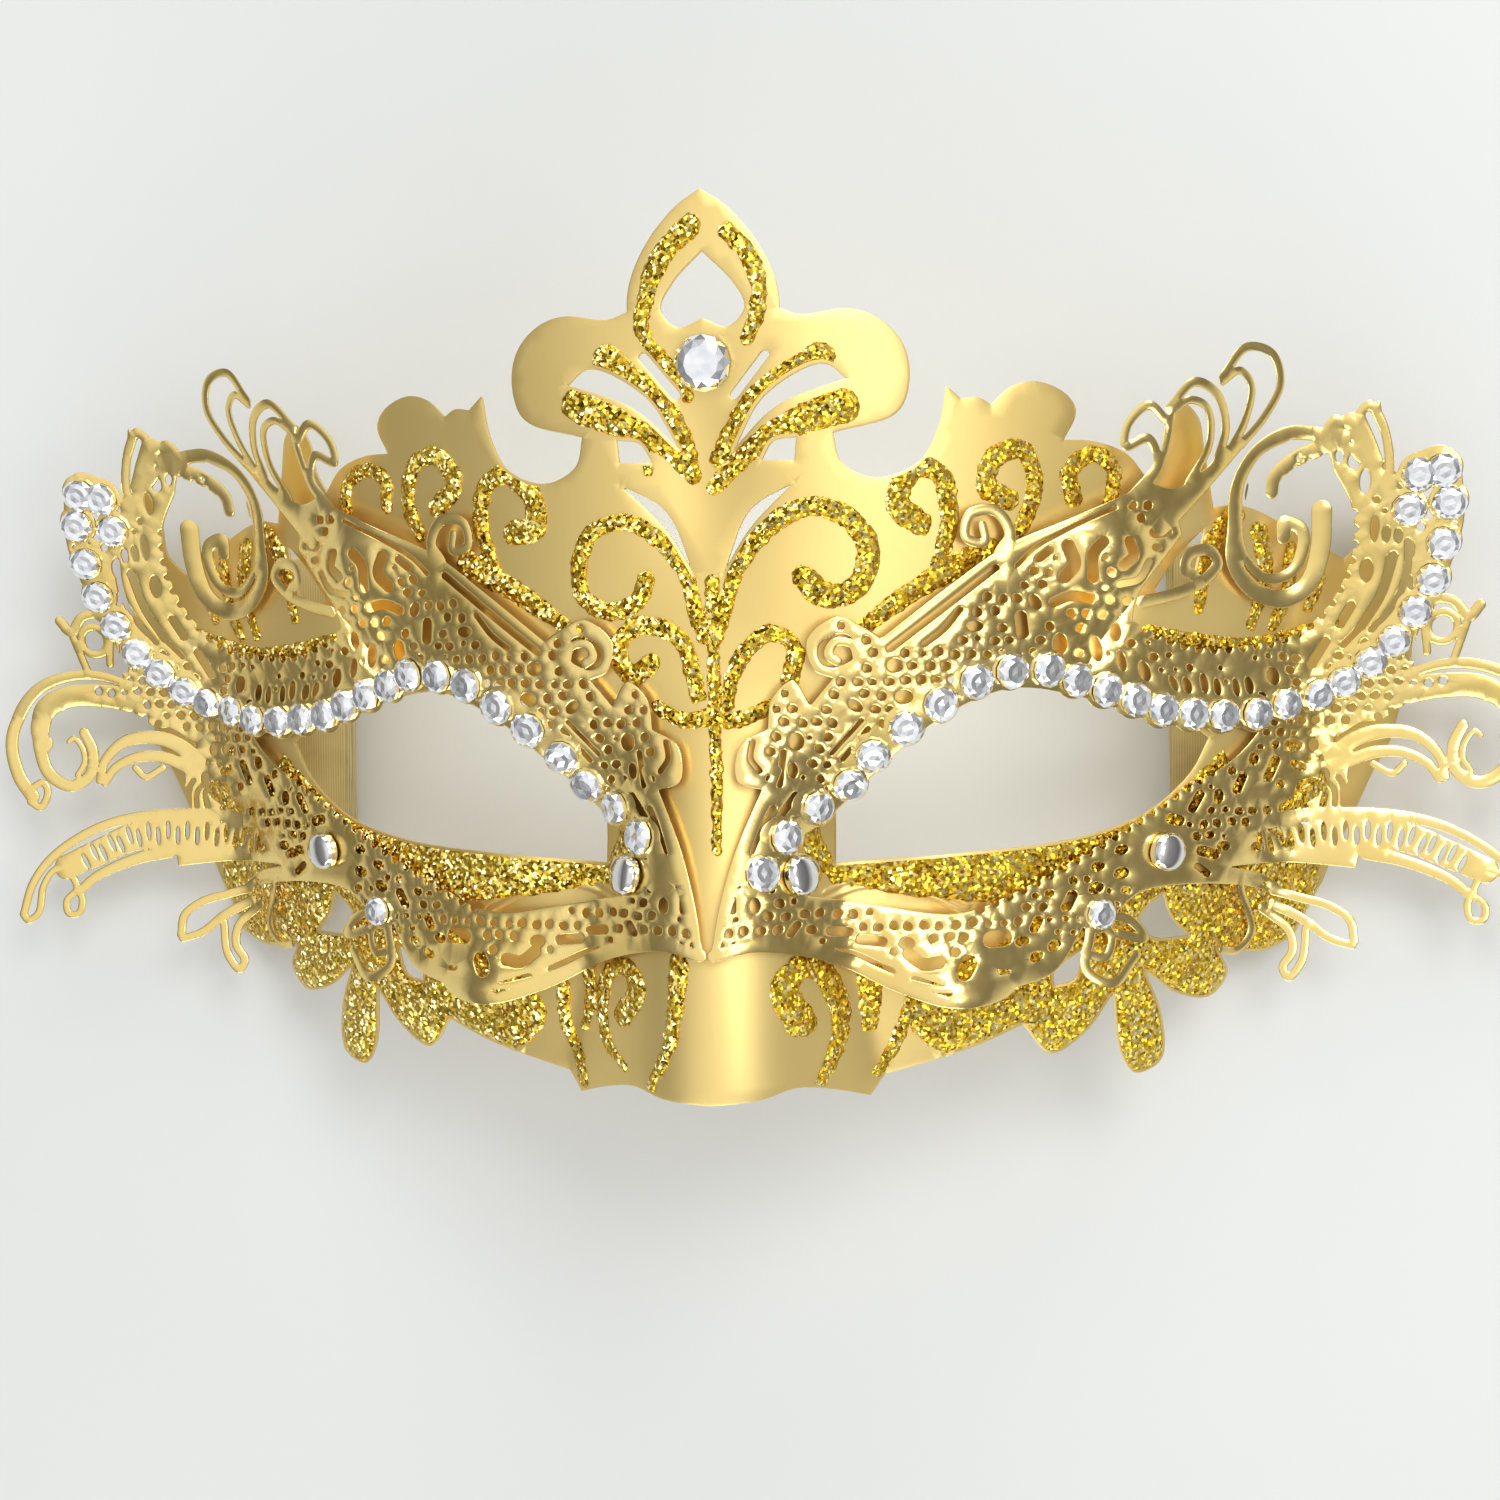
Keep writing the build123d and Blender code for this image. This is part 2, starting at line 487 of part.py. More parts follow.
def main():
    shell = make_shell()
    box = shell.bounding_box()
    centre_y = (box.min.Y + box.max.Y) / 2
    save("mask_shell", shell, centre_y)

    panel = make_filigree()
    save("filigree_right", panel, centre_y)
    save("filigree_left", mirror(panel, Plane.YZ), centre_y)

    gem_seat = seat(shell_height, SHELL_THICKNESS + 0.3, CROWN_GEM)
    save("crown_gem", faceted_stone(gem_seat, GEM_DIAMETER), centre_y)

    stone_lift = FILIGREE_THICKNESS + STONE_CLEARANCE
    flower_seat = seat(filigree_height, stone_lift, FLOWER_STONE)
    flower_stone = faceted_stone(flower_seat, FLOWER_STONE_DIAMETER)
    save("flower_stone_right", flower_stone, centre_y)
    save("flower_stone_left", mirror(flower_stone, Plane.YZ), centre_y)

    for group, places in STONES.items():
        stones = [faceted_stone(seat(filigree_height, stone_lift, spot), STONE_DIAMETER) for spot in places]
        save(f"{group}_stones_right", stones, centre_y)
        # the last stone beside the nose has come off the left panel
        kept = stones[:-1] if group == "nose" else stones
        twins = [mirror(stone, Plane.YZ) for stone in kept]
        save(f"{group}_stones_left", twins, centre_y)

    for name, place in RIVETS.items():
        plane = rivet_plane(place)
        depth = (plane.origin.Z - shell_height(*place)) * plane.z_dir.Z + RIVET_BACK_HEIGHT + 0.35
        front = rivet_front(plane, depth)
        back = rivet_back(plane, depth)
        save(f"{name}_rivet_right", front, centre_y)
        save(f"{name}_rivet_left", mirror(front, Plane.YZ), centre_y)
        save(f"{name}_rivet_back_right", back, centre_y)
        save(f"{name}_rivet_back_left", mirror(back, Plane.YZ), centre_y)

    for name, lines in GLITTER.items():
        pieces = make_glitter(lines)
        save(f"{name}_glitter_right", pieces, centre_y)
        twins = [mirror(piece, Plane.YZ) for piece in pieces]
        save(f"{name}_glitter_left", twins, centre_y)

    ribbon = make_ribbon()
    save("ribbon_right", ribbon, centre_y)
    save("ribbon_left", mirror(ribbon, Plane.YZ), centre_y)
    pad = make_glue_pad()
    save("ribbon_glue_right", pad, centre_y)
    save("ribbon_glue_left", mirror(pad, Plane.YZ), centre_y)


main()
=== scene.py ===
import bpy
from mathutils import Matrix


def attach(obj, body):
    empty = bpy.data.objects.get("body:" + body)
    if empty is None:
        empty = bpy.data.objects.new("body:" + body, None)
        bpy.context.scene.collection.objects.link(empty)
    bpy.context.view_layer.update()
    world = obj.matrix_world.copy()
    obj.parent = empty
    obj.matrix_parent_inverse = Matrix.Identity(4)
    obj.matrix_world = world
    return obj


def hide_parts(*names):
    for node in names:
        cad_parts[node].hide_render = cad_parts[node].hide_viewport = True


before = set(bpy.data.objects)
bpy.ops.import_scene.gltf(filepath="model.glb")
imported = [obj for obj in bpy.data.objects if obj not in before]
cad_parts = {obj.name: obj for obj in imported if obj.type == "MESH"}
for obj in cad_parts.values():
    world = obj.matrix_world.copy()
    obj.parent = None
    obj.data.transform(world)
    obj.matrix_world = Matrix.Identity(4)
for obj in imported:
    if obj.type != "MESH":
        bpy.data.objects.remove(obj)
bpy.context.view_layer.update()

import math
import bpy
import bmesh
import numpy as np
from mathutils import Matrix, Vector
from mathutils.geometry import delaunay_2d_cdt

# A venetian masquerade mask lying face up. Outlines are in mm, drawn with x from
# the mirror plane and y from the eye line; the part's origin is at y = ORIGIN_Y.
MM = 0.001
SIDES = ((1, "right"), (-1, "left"))
ORIGIN_Y = 8.75
CROWN_HEIGHT = 43.2          # inner face at the eye line, with its slope and bend up the forehead
CROWN_SLOPE = 0.165
CROWN_BEND = 0.0006
FACE_RADIUS = 66.0
NOSE_HEIGHT = 13.0
WING_HEIGHT = 8.0            # the filigree's lowest level, and its rise above the eyes
WING_SLOPE = 0.36
SHELL_THICKNESS = 1.2
FILIGREE_GAP = 2.3
FILIGREE_THICKNESS = 0.6
REACH = 3.0                  # how far a drawing's distances are worked out
SHELL_GRID = 0.25
SHELL_EDGE_ROUNDING = 0.25
FILIGREE_GRID = 0.19
FILIGREE_EDGE_ROUNDING = 0.13
LACE_SPACING = 1.9
LACE_HOLE_RADII = (0.28, 0.62)
LACE_OPENING = 1.1           # widening of the larger holes
LADDER_SPACING = 1.45
LACE_WEB = 0.38              # least metal left between two lace holes
RIVET_HOLE_RADIUS = 1.05
RIVET_PAD_RADIUS = 2.4
STONE_TAB_RADIUS = 2.5
STONE_SEAT_RADIUS = 2.2
SHARP_EDGE_DEGREES = 48
STONE_DIAMETER = 4.5
STONE_GLUE = 0.12
STONE_WOBBLE = 0.05          # radians
FLOWER_STONE_DIAMETER = 4.0
GEM_DIAMETER = 6.8
RIVET_CAP_DIAMETER = 5.0

CROWN_GEM = (0.0, 43.5)
RIVETS = {"nose": (10.0, -17.75), "cheek": (54.75, -15.75)}
FLOWER_STONE = (46.5, -23.5)
STONES = {
    "tip": [(90, 32.5), (87, 32), (91, 28.5), (86, 27.75)],
    "temple": [(90.5, 23.5), (89.5, 19), (87.5, 15), (85, 11.25), (82.25, 8.5), (79, 6), (75.5, 4.25)],
    "brow": [(71, 3), (67, 1.75), (62.5, 1.5), (58.5, 1.75), (54.5, 2.25), (51, 3.5), (47.25, 4.75),
        (43.5, 6)],
    "nose": [(40, 7.25), (35.5, 7), (31.25, 5.75), (27, 3), (23, 0.25), (19, -3), (16, -6.5),
        (12, -9.5), (8.5, -13), (6, -17.25)],
}

# Outlines: each run is one smooth curve, and runs meet at corners
SHELL_EDGE = [
    [(0, 63), (3, 61), (6.5, 57), (8.5, 53), (9, 50.5), (9, 49.25)],
    [(9, 49.25), (11.5, 48.5), (17, 49.25), (20.5, 48.25), (23.25, 45.5), (24, 41.5), (22.5, 37.5),
        (15, 35)],
    [(15, 35), (16, 31.5), (20, 29.75), (25, 31.75), (27.25, 35.75), (28.25, 40.75)],
    [(28.25, 40.75), (30, 39.25)],
    [(30, 39.25), (32, 39.5), (33.5, 38.75)],
    [(33.5, 38.75), (36, 41), (39, 41.75), (42.5, 40.5), (43.75, 38.5), (42.25, 35)],
    [(42.25, 35), (46, 35), (50, 33.75), (52.5, 31)],
    [(52.5, 31), (54.25, 34), (55, 37.5), (57.5, 40.25), (59.25, 38.75), (60, 35), (61.25, 27.75)],
    [(61.25, 27.75), (65, 28.25), (72, 25.5), (79.25, 22)],
    [(79.25, 22), (82, 25), (82, 30), (83.75, 34.25)],
    [(83.75, 34.25), (87, 31.5), (90.25, 20), (89.5, 12), (88.25, 2), (83.75, -7), (78.5, -19),
        (73.25, -28.5)],
    [(73.25, -28.5), (69, -30), (62.5, -29.25)],
    [(62.5, -29.25), (64, -32.5), (61.5, -35.5), (57, -34.75), (52.75, -31.5)],
    [(52.75, -31.5), (55, -37.5), (55, -43.5), (51.5, -45), (49.5, -42), (48.5, -34.25)],
    [(48.5, -34.25), (45, -39), (40.5, -41.5), (37, -37.5)],
    [(37, -37.5), (31, -40), (20, -43)],
    [(20, -43), (18.25, -45.5)],
    [(18.25, -45.5), (14, -44), (10, -43.25), (6, -44.25), (0, -44.75)],
]
HEART_EDGE = [[(0, 56), (3.5, 52.5), (5, 49.5), (3, 47.25), (0, 48.25)]]
SHELL_HOLES = {
    "eye": [
        [(14.25, -8.5), (14.25, -16.5)],
        [(14.25, -16.5), (28.5, -15.5), (43, -14), (52.5, -11), (58.5, -6), (61, -1.5)],
        [(61, -1.5), (55, 3), (43.5, 8.25), (37, 8.75), (27.5, 5.75), (20, -0.5), (14.25, -8.5)],
    ],
    "crescent": [
        [(16.75, 41.25), (14, 43), (7, 39.25), (3.25, 33.25)],
        [(3.25, 33.25), (8.5, 38), (16.75, 41.25)],
    ],
    "wedge": [
        [(10.75, 34.5), (8, 34), (6.5, 31.75)],
        [(6.5, 31.75), (10.5, 31.75)],
        [(10.5, 31.75), (10.75, 34.5)],
    ],
    "slit": [
        [(10.5, 29.25), (5, 26), (1.75, 18.5)],
        [(1.75, 18.5), (5, 23.75), (10.5, 29.25)],
    ],
    "side": [
        [(60, 25), (57, 22), (53.5, 17)],
        [(53.5, 17), (58.25, 17)],
        [(58.25, 17), (60, 25)],
    ],
    "cheek_high": [
        [(55, -21.5), (52, -24.5), (53.5, -27), (58.5, -27.25)],
        [(58.5, -27.25), (56, -24.5), (55, -21.5)],
    ],
    "cheek_low": [
        [(44.75, -28), (41, -31), (41, -32.75)],
        [(41, -32.75), (43.5, -32), (44.75, -28)],
    ],
}
SHELL_SLOTS = [(1.1, [(7.25, 44), (3.5, 39.5)])]
# Pairs of pressed lines on the cheeks, under the lace
SHELL_RIDGES = [
    [(30.5, -22.5), (26, -20.25), (21, -18.75), (16.75, -19), (13, -20.5)],
    [(34.25, -31.5), (32.5, -36)],
    [(29, -39.5), (26.75, -41.5)],
]

RING_EDGE = [
    [(53, 30), (44, 25.75), (35.5, 22), (28.5, 17), (20.5, 10.75)],
    [(20.5, 10.75), (18.5, 12), (15.25, 13.25), (11.75, 10.5), (12.5, 7), (14.75, 6)],
    [(14.75, 6), (12, 2.75)],
    [(12, 2.75), (10, 5.75), (7.5, 3.5), (7, 0)],
    [(7, 0), (3.75, -2), (3.5, -6.25), (6.25, -7.25)],
    [(6.25, -7.25), (3.25, -14.5), (1.25, -22), (0.5, -27.25)],
    [(0.5, -27.25), (5.5, -26), (13, -27), (22, -31.25), (30, -33.25)],
    [(30, -33.25), (35, -32.25), (41, -30.5), (45, -24.5)],
    [(45, -24.5), (48, -24), (52, -21), (58, -20.25), (65, -20.75), (72, -22.25)],
    [(72, -22.25), (68.5, -19.5), (63.5, -18.25)],
    [(63.5, -18.25), (72, -18), (80.75, -18.75)],
    [(80.75, -18.75), (81, -17.25)],
    [(81, -17.25), (85, -17)],
    [(85, -17), (85, -12)],
    [(85, -12), (79.5, -11.5)],
    [(79.5, -11.5), (79.75, -5.5)],
    [(79.75, -5.5), (78, -2.75), (79, 1.5)],
    [(79, 1.5), (84, 0.75), (87.5, 4.5), (88, 11.5), (91, 18.5), (93, 26), (92.25, 33)],
    [(92.25, 33), (90, 35.25), (86, 34), (83.25, 30.5)],
    [(83.25, 30.5), (83, 35), (81.75, 40.75)],
    [(81.75, 40.75), (79.5, 39.5)],
    [(79.5, 39.5), (77.5, 39), (75.5, 37), (76.5, 32.5)],
    [(76.5, 32.5), (79, 28), (79.25, 22), (76.5, 15.5), (72, 11.75), (66.5, 10.5), (60, 10),
        (55, 11.25), (50.75, 13.25)],
    [(50.75, 13.25), (51.25, 16), (54.75, 21), (57, 24)],
    [(57, 24), (56.5, 27), (60, 30), (63.75, 35)],
    [(63.75, 35), (59, 31.5), (56, 29.5), (53, 30)],
]
RING_EYE = [
    [(54, 0.5), (60, -0.25), (68.25, 0)],
    [(68.25, 0), (64.5, -4), (56, -9), (48, -14), (36.5, -20.25), (29.5, -22.75), (20, -21.75),
        (9, -19.75)],
    [(9, -19.75), (6.75, -15.75), (12.5, -11.75), (19.5, -5.25), (27, 1), (35.5, 4.75), (43.5, 4),
        (54, 0.5)],
]
# Wide bands of the filigree, drawn before its holes are cut: half widths at both ends
BANDS = {
    "wing_lace": (1.9, 1.3, [(78, 0.5), (80.5, 2), (84.5, 3.5), (88.5, 4.75), (92.75, 5.25), (96.5, 5),
        (100, 3.25), (101, 0.75), (100.5, -1.5)]),
    "ladder": (1.7, 2.3, [(97.25, -19), (92.75, -17), (87.25, -14.75), (81.25, -14.25), (76, -14.5),
        (71, -15.5)]),
    "spiral_lace": (1.2, 0.8, [(80, 34.5), (77, 35.75), (73.75, 34.75), (70.75, 33.25), (69, 31.5),
        (68.75, 29.75)]),
}
# Filigree strands: half widths run from the first number to the second
STRANDS = {
    "top_loop": (0.5, 0.5, [(64.5, 35.25), (67.5, 39), (69, 42.5), (67.75, 45.75), (64.5, 46.25),
        (61.5, 42.5)]),
    "top_hook": (0.5, 0.4, [(63, 34.5), (64.75, 38), (65.25, 42), (63.75, 43.5), (61.5, 42)]),
    "middle_loop": (0.55, 0.5, [(61.5, 33.5), (62.25, 37), (61, 40.5), (58, 41.75), (55, 38.75)]),
    "inner_loop": (0.5, 0.4, [(57.75, 30.25), (60.25, 35), (59.75, 39), (57.5, 39.75), (55.75, 38.5)]),
    "small_loop": (0.5, 0.55, [(54.75, 37.25), (52.5, 39), (50, 36.75), (49.75, 34.25), (52.5, 35.25),
        (53.75, 32.5), (50, 27.75)]),
    "loop_stem": (0.45, 0.5, [(55.25, 39), (55, 35.75), (53.75, 31.5), (51.75, 29)]),
    "spine": (0.8, 1.1, [(63.75, 35), (59.25, 30), (54.25, 24.75)]),
    "volute": (0.75, 0.5, [(34.5, 21), (35.75, 23.25), (34, 26), (31, 25.5), (30.5, 22.75),
        (32.75, 22.25), (32.5, 24.25)]),
    "spiral": (0.8, 1.3, [(75, 36.75), (70.5, 36.75), (66.5, 34.25), (64.25, 30), (64, 25), (64, 20.75),
        (67, 17.25), (71, 16.5), (74, 18.5), (75.25, 22.5), (75.25, 27.5)]),
    "inner_spiral": (0.4, 0.9, [(65.25, 30.5), (64.5, 25.75), (65.5, 21.5), (68.5, 19), (71.5, 19.75),
        (73, 22.75), (72.75, 25.25), (70.5, 26), (70.5, 24.25)]),
    "crest_outer": (0.6, 0.45, [(83.5, 29.5), (83.25, 34.5), (82, 38.5), (80.5, 40.25), (79.25, 39),
        (80.75, 36.5), (82.25, 33.25)]),
    "crest_inner": (0.55, 0.45, [(82, 31.25), (80.75, 34.75), (78.25, 37.75), (76.25, 38.5),
        (75.25, 37), (77.75, 35.75), (79.75, 33.75)]),
    "scroll": (0.75, 0.7, [(52, 15.5), (56.5, 16.75), (60, 18.5), (61.75, 20.75), (60.5, 22.25),
        (58, 21.5), (57.5, 19.75), (58.75, 19)]),
    "finial_arch": (0.7, 0.45, [(95.75, 15.5), (94.5, 14), (92.5, 16), (90.25, 16.25), (89, 14.5),
        (89.5, 9.5)]),
    "finial_stem": (0.5, 0.5, [(94.5, 14.25), (93.75, 11.5), (92.75, 8)]),
    "wing_top": (0.6, 0.95, [(86.5, 6.5), (91.75, 8), (96.5, 7.75), (100.75, 6), (104, 2.5),
        (105.25, -1.25), (104.25, -6), (102.25, -9)]),
    "wing_end": (0.45, 0.5, [(102.25, -7.75), (100.75, -7), (100, -8.25), (101, -10.5),
        (102.5, -9.75)]),
    "wing_curl": (0.95, 0.7, [(101.25, 1), (101, -2.25), (99.75, -5.75), (96.5, -7.5), (93.75, -6),
        (93.25, -2.75), (94.5, 0)]),
    "curl_leaf": (0.4, 0.35, [(95.5, -6), (94.5, -4.25), (94.75, -2.25), (96, -0.75), (96.75, -1.25)]),
    "leaf_top": (0.55, 1.2, [(92.25, -6.75), (91.5, -4), (88.5, -1.25), (84, -0.75), (80.75, -1.75),
        (77.75, -4)]),
    "leaf_bottom": (0.55, 0.9, [(91.5, -7), (90, -5), (86.75, -3.5), (83, -3.5), (79, -5)]),
    "leaf_spur": (0.45, 0.45, [(87, -5), (85.5, -6.25), (83, -5)]),
    "ladder_top": (0.5, 0.9, [(103.75, -25.75), (102.25, -21.25), (99.25, -17.5), (93.25, -13.75),
        (87.25, -12), (80.25, -11.5), (73.5, -11.75), (67.5, -13)]),
    "ladder_bottom": (0.6, 0.9, [(95.5, -22.5), (92.75, -20.25), (86.75, -17.75), (82, -16.75)]),
    "ladder_loop": (0.5, 0.4, [(103.75, -25.75), (103, -26.5), (101.5, -25.5), (100.75, -21.75),
        (99.25, -19.5), (97.5, -18.75)]),
    "ladder_hook": (0.45, 0.45, [(97.25, -19), (95.75, -22), (97.25, -23.75), (97, -25.5),
        (95.5, -25.5), (95, -23.5), (95.75, -22)]),
    "tail_long": (0.55, 0.6, [(80.5, -28.5), (80, -25.75), (77.25, -23.75), (73.75, -22.75),
        (70, -21.75)]),
    "tail_long_low": (0.5, 0.7, [(80.25, -29), (77.25, -28), (74.25, -25.75), (70, -23.5)]),
    "tail_hook": (0.5, 0.6, [(74.25, -26.75), (73.75, -31), (72, -33.25), (71.25, -32), (72.5, -29.75),
        (72, -27), (68.5, -24)]),
    "tail_short": (0.5, 0.5, [(65.5, -21), (67, -27), (65, -29.5), (63, -29.25)]),
    "flower_right": (0.55, 0.55, [(46, -23.75), (50.5, -24.5), (52.5, -27), (49.25, -26.25)]),
    "flower_left": (0.55, 0.5, [(46.25, -24), (48.25, -26.5), (47.5, -29), (44.75, -28.5)]),
    "root_curl": (0.45, 0.55, [(17.75, 7.25), (17, 10), (15, 10.25), (14.25, 8.75), (15.25, 8)]),
    "nose_edge": (0.7, 0.6, [(0.75, -26.75), (5.5, -25.75), (13, -27.25), (22, -31.5), (30, -33.5),
        (35.5, -32), (36, -29.5), (33.5, -29)]),
    "nose_rib": (0.5, 0.4, [(9, -25.5), (14, -27), (21, -30.25), (28, -31.75), (32.5, -31)]),
    "nose_bridge": (0.55, 0.5, [(8, -5), (5, -13), (2.5, -21), (0.9, -26.5)]),
    "flower_base": (0.55, 0.7, [(51.5, -29), (48.5, -32.25), (45, -30.5), (45.5, -26), (45.5, -23)]),
}
FINIAL_RING = (91.25, 12.75, 1.9, 0.5)        # centre, radius and half width
SPIRAL_SLIT = (0.28, [(71, 36), (67.25, 34), (65.25, 30.5), (65, 26.75)])
# Slots of the lace: width and centre line
SLOTS = [
    (0.5, [(48.5, 26.75), (42.25, 23.75), (38.5, 21.5), (36.5, 19.5)]),
    (0.9, [(34, 19.25), (28, 14.5), (21.5, 9.5)]),
    (3.6, [(15.75, 9.5), (14.75, 9)]),
    (1.5, [(42.75, 22), (43.5, 19.75), (42.25, 18.25)]),
    (1.0, [(40.5, 21.5), (39.25, 20.5)]),
    (1.3, [(50.25, 22.75), (50.75, 21), (49.5, 19.75)]),
    (0.8, [(52.75, 20.5), (51.5, 18.25), (49, 17.5)]),
    (1.4, [(47, 22.5), (45.75, 21), (45.75, 18.25)]),
    (1.4, [(55, 24.25), (53.5, 24)]),
    (0.9, [(80.5, 39), (82.25, 35.5), (83, 32.75)]),
    (0.8, [(77.75, 37.75), (79.75, 36.5), (81, 34.25)]),
    (1.2, [(45.5, 15.75), (43, 16), (41, 15.25)]),
    (1.4, [(37, 13.5), (37.25, 11.5)]),
    (1.2, [(76.5, 11), (74.75, 8)]),
    (1.2, [(79.5, 15.5), (78.25, 13.25)]),
    (1.2, [(84.5, 21.75), (83.25, 17), (81, 13)]),
    (1.6, [(88.25, 30), (88.5, 27)]),
    (1.4, [(87, 12), (87.5, 9)]),
    (1.8, [(75.25, -8.5), (71.5, -11)]),
    (0.6, [(79, -7.5), (79, -11)]),
    (1.3, [(70, -4.5), (69, -6.75)]),
    (1.4, [(57, -12), (56, -11.75)]),
    (1.2, [(65.5, -6.5), (64.75, -8.25)]),
    (1.2, [(59.75, -8.75), (58.75, -10.5)]),
    (1.4, [(61.75, -16.5), (60, -16)]),
    (1.0, [(59.5, -18), (60.75, -19)]),
    (2.0, [(34.75, -26), (33.25, -26)]),
    (1.2, [(35.25, -29.75), (34.5, -29.75)]),
    (2.0, [(30.5, -28.75), (30, -29.75)]),
    (1.5, [(27, -28.5), (25, -28.75), (23.25, -27.5)]),
    (1.3, [(20, -26), (17.5, -25.75)]),
    (1.2, [(16, -24.75), (14, -24.5)]),
    (1.3, [(43.25, -21), (42.5, -22.5)]),
    (1.2, [(39, -24), (38.5, -25)]),
    (0.9, [(10.25, -23.5), (9.5, -24.5)]),
    (0.8, [(3, -19.5), (3, -21.5)]),
    (0.5, [(18, 1), (14.25, -3)]),
    (0.6, [(18.75, 0), (15.5, -3.75)]),
    (0.7, [(8.75, -2.75), (8.25, -6.75)]),
    (0.9, [(10, -8), (7.5, -11.5)]),
    (0.7, [(29.75, 14.25), (27.75, 11.75), (25.5, 10)]),
    (0.9, [(86.25, 23.5), (86.25, 19.25), (84.75, 15.5), (82.25, 12.5)]),
    (0.8, [(7.5, -9.5), (5.5, -13.5), (3.75, -18.5)]),
    (0.7, [(5.25, -1.5), (5, -3.5), (6, -5)]),
    (1.2, [(12, -27), (16, -27.5), (21, -29.75)]),
    (1.2, [(24, -30.75), (28, -32)]),
    (0.8, [(84, 21.5), (83.5, 18.25), (81.75, 14), (78.75, 10.5)]),
    (0.7, [(79.25, -10.75), (79.5, -8.5), (78.5, -6.75)]),
    (0.7, [(78, -10.75), (78, -8.5), (77, -7.25)]),
    (0.8, [(76.5, -10.5), (76.75, -8.5), (75.5, -7.25), (73.5, -7.75), (73.25, -9.75),
        (74.25, -10.75)]),
]
# Edges with a row of small notches between the lace flowers
NOTCHED_EDGES = [
    [(79, 28), (79.25, 22), (76.5, 15.5), (72, 11.75), (66.5, 10.5), (60, 10), (55, 11.25), (51.5, 13)],
    [(62, -5.25), (56, -9), (48, -14), (36.5, -20.25), (31, -22.5)],
    [(82.75, 0.75), (87.25, 2.25), (91.5, 2.75), (95.75, 2.75), (98.5, 1.75), (99.25, -1.25)],
    [(78, 34.25), (74.5, 33.5), (71.75, 32.25), (70, 30.5)],
]
# Plain areas of the filigree, left without lace: centre and half sizes
PLAIN = [
    (58, 27.5, 5, 5), (45, 25.5, 5, 2.2), (31, 19, 5, 2.6), (72, -6, 5, 1.4), (67, -9, 3, 1.6),
    (76, -16.5, 12, 3.2),
    (60, -17, 4, 2.5), (69, -17, 5, 2), (3, -3, 3, 5), (8.5, -8.5, 3, 1.5), (54.75, -15.75, 3.6, 3.6),
    (83, -2, 7, 2), (87, -15, 12, 5), (85.5, 18, 3, 5), (3.5, -13, 3, 9), (12, -28, 8, 2.2),
    (24, -31.5, 8, 2.4),
    (34, -31.5, 5, 2),
]
# The larger lace holes: centre, half sizes and tilt in degrees
LACE = [
    (31.5, 12.25, 0.9, 0.6, 0), (22, 7.5, 0.9, 0.8, 0), (23, 3.75, 1, 0.8, 0),
    (17.25, 2.75, 0.9, 0.6, -40),
    (10.25, -1.5, 0.8, 1, 0), (9.75, -5, 0.5, 0.9, 0), (6.5, -12.5, 0.5, 0.9, 15),
    (38.75, 15.25, 0.6, 0.9, 30), (48.75, 11.75, 0.6, 1, 0), (41.75, 10.25, 0.8, 1.2, 0),
    (46.25, 9.75, 0.7, 1.5, 15), (49.5, 8.25, 0.5, 1.2, 15), (52.5, 7, 0.6, 1.2, 20),
    (56.25, 5.5, 0.4, 1, 25), (58, 5.25, 0.5, 1, 20), (60.25, 5.5, 0.45, 1.2, 12),
    (62, 5, 0.4, 1.1, 10),
    (64.5, 5, 0.4, 1.1, 12), (66.25, 5.25, 0.5, 1.1, 15), (69.5, 6.5, 0.75, 1.1, 20),
    (81.25, 20, 0.75, 1.4, 0), (82, 25.25, 0.5, 1.6, 0), (80.5, 31, 0.6, 1.4, 0),
    (83.5, 24.5, 0.5, 1, 0),
    (85, 24.25, 0.5, 0.9, 0), (86.5, 22.5, 0.6, 1.2, 0), (86.75, 18.5, 0.5, 1, 20),
    (79, 33.5, 0.7, 0.9, 0),
    (84, 9.75, 0.5, 1, 40), (5.5, -21, 0.6, 0.9, 0), (23, -26.25, 0.9, 0.7, 0),
    (41, -27.25, 0.8, 0.6, 40),
    (38.75, -28.5, 0.8, 0.6, 30), (37, -26.5, 0.8, 0.6, 0), (49.5, -15.5, 0.8, 0.6, 20),
    (46.5, -17.5, 0.8, 0.6, 20), (49.5, -18.5, 0.9, 0.7, 20), (46.25, -20.25, 0.9, 0.7, 30),
    (63, -15.5, 0.8, 0.6, 0), (67.75, -15.75, 0.8, 0.6, 0), (62.25, -9, 0.6, 0.9, 0),
    (72.5, -2.5, 1.1, 0.8, 0), (75.25, -2.5, 0.6, 0.8, 0), (73.25, -5.25, 1, 0.6, -30),
    (67, -4.25, 0.6, 0.8, 0), (76.75, -6.5, 0.6, 0.9, 0), (70, -13.5, 1, 0.6, -20),
    (74, -12, 0.9, 0.6, -20), (72, -15.5, 0.8, 0.5, 0),
]
LADDER = [(95, -18.25), (91.5, -16.5), (87.25, -14.75), (83.25, -14.25), (79, -14.25), (74.75, -14.5),
    (71, -15), (67.5, -15.75)]

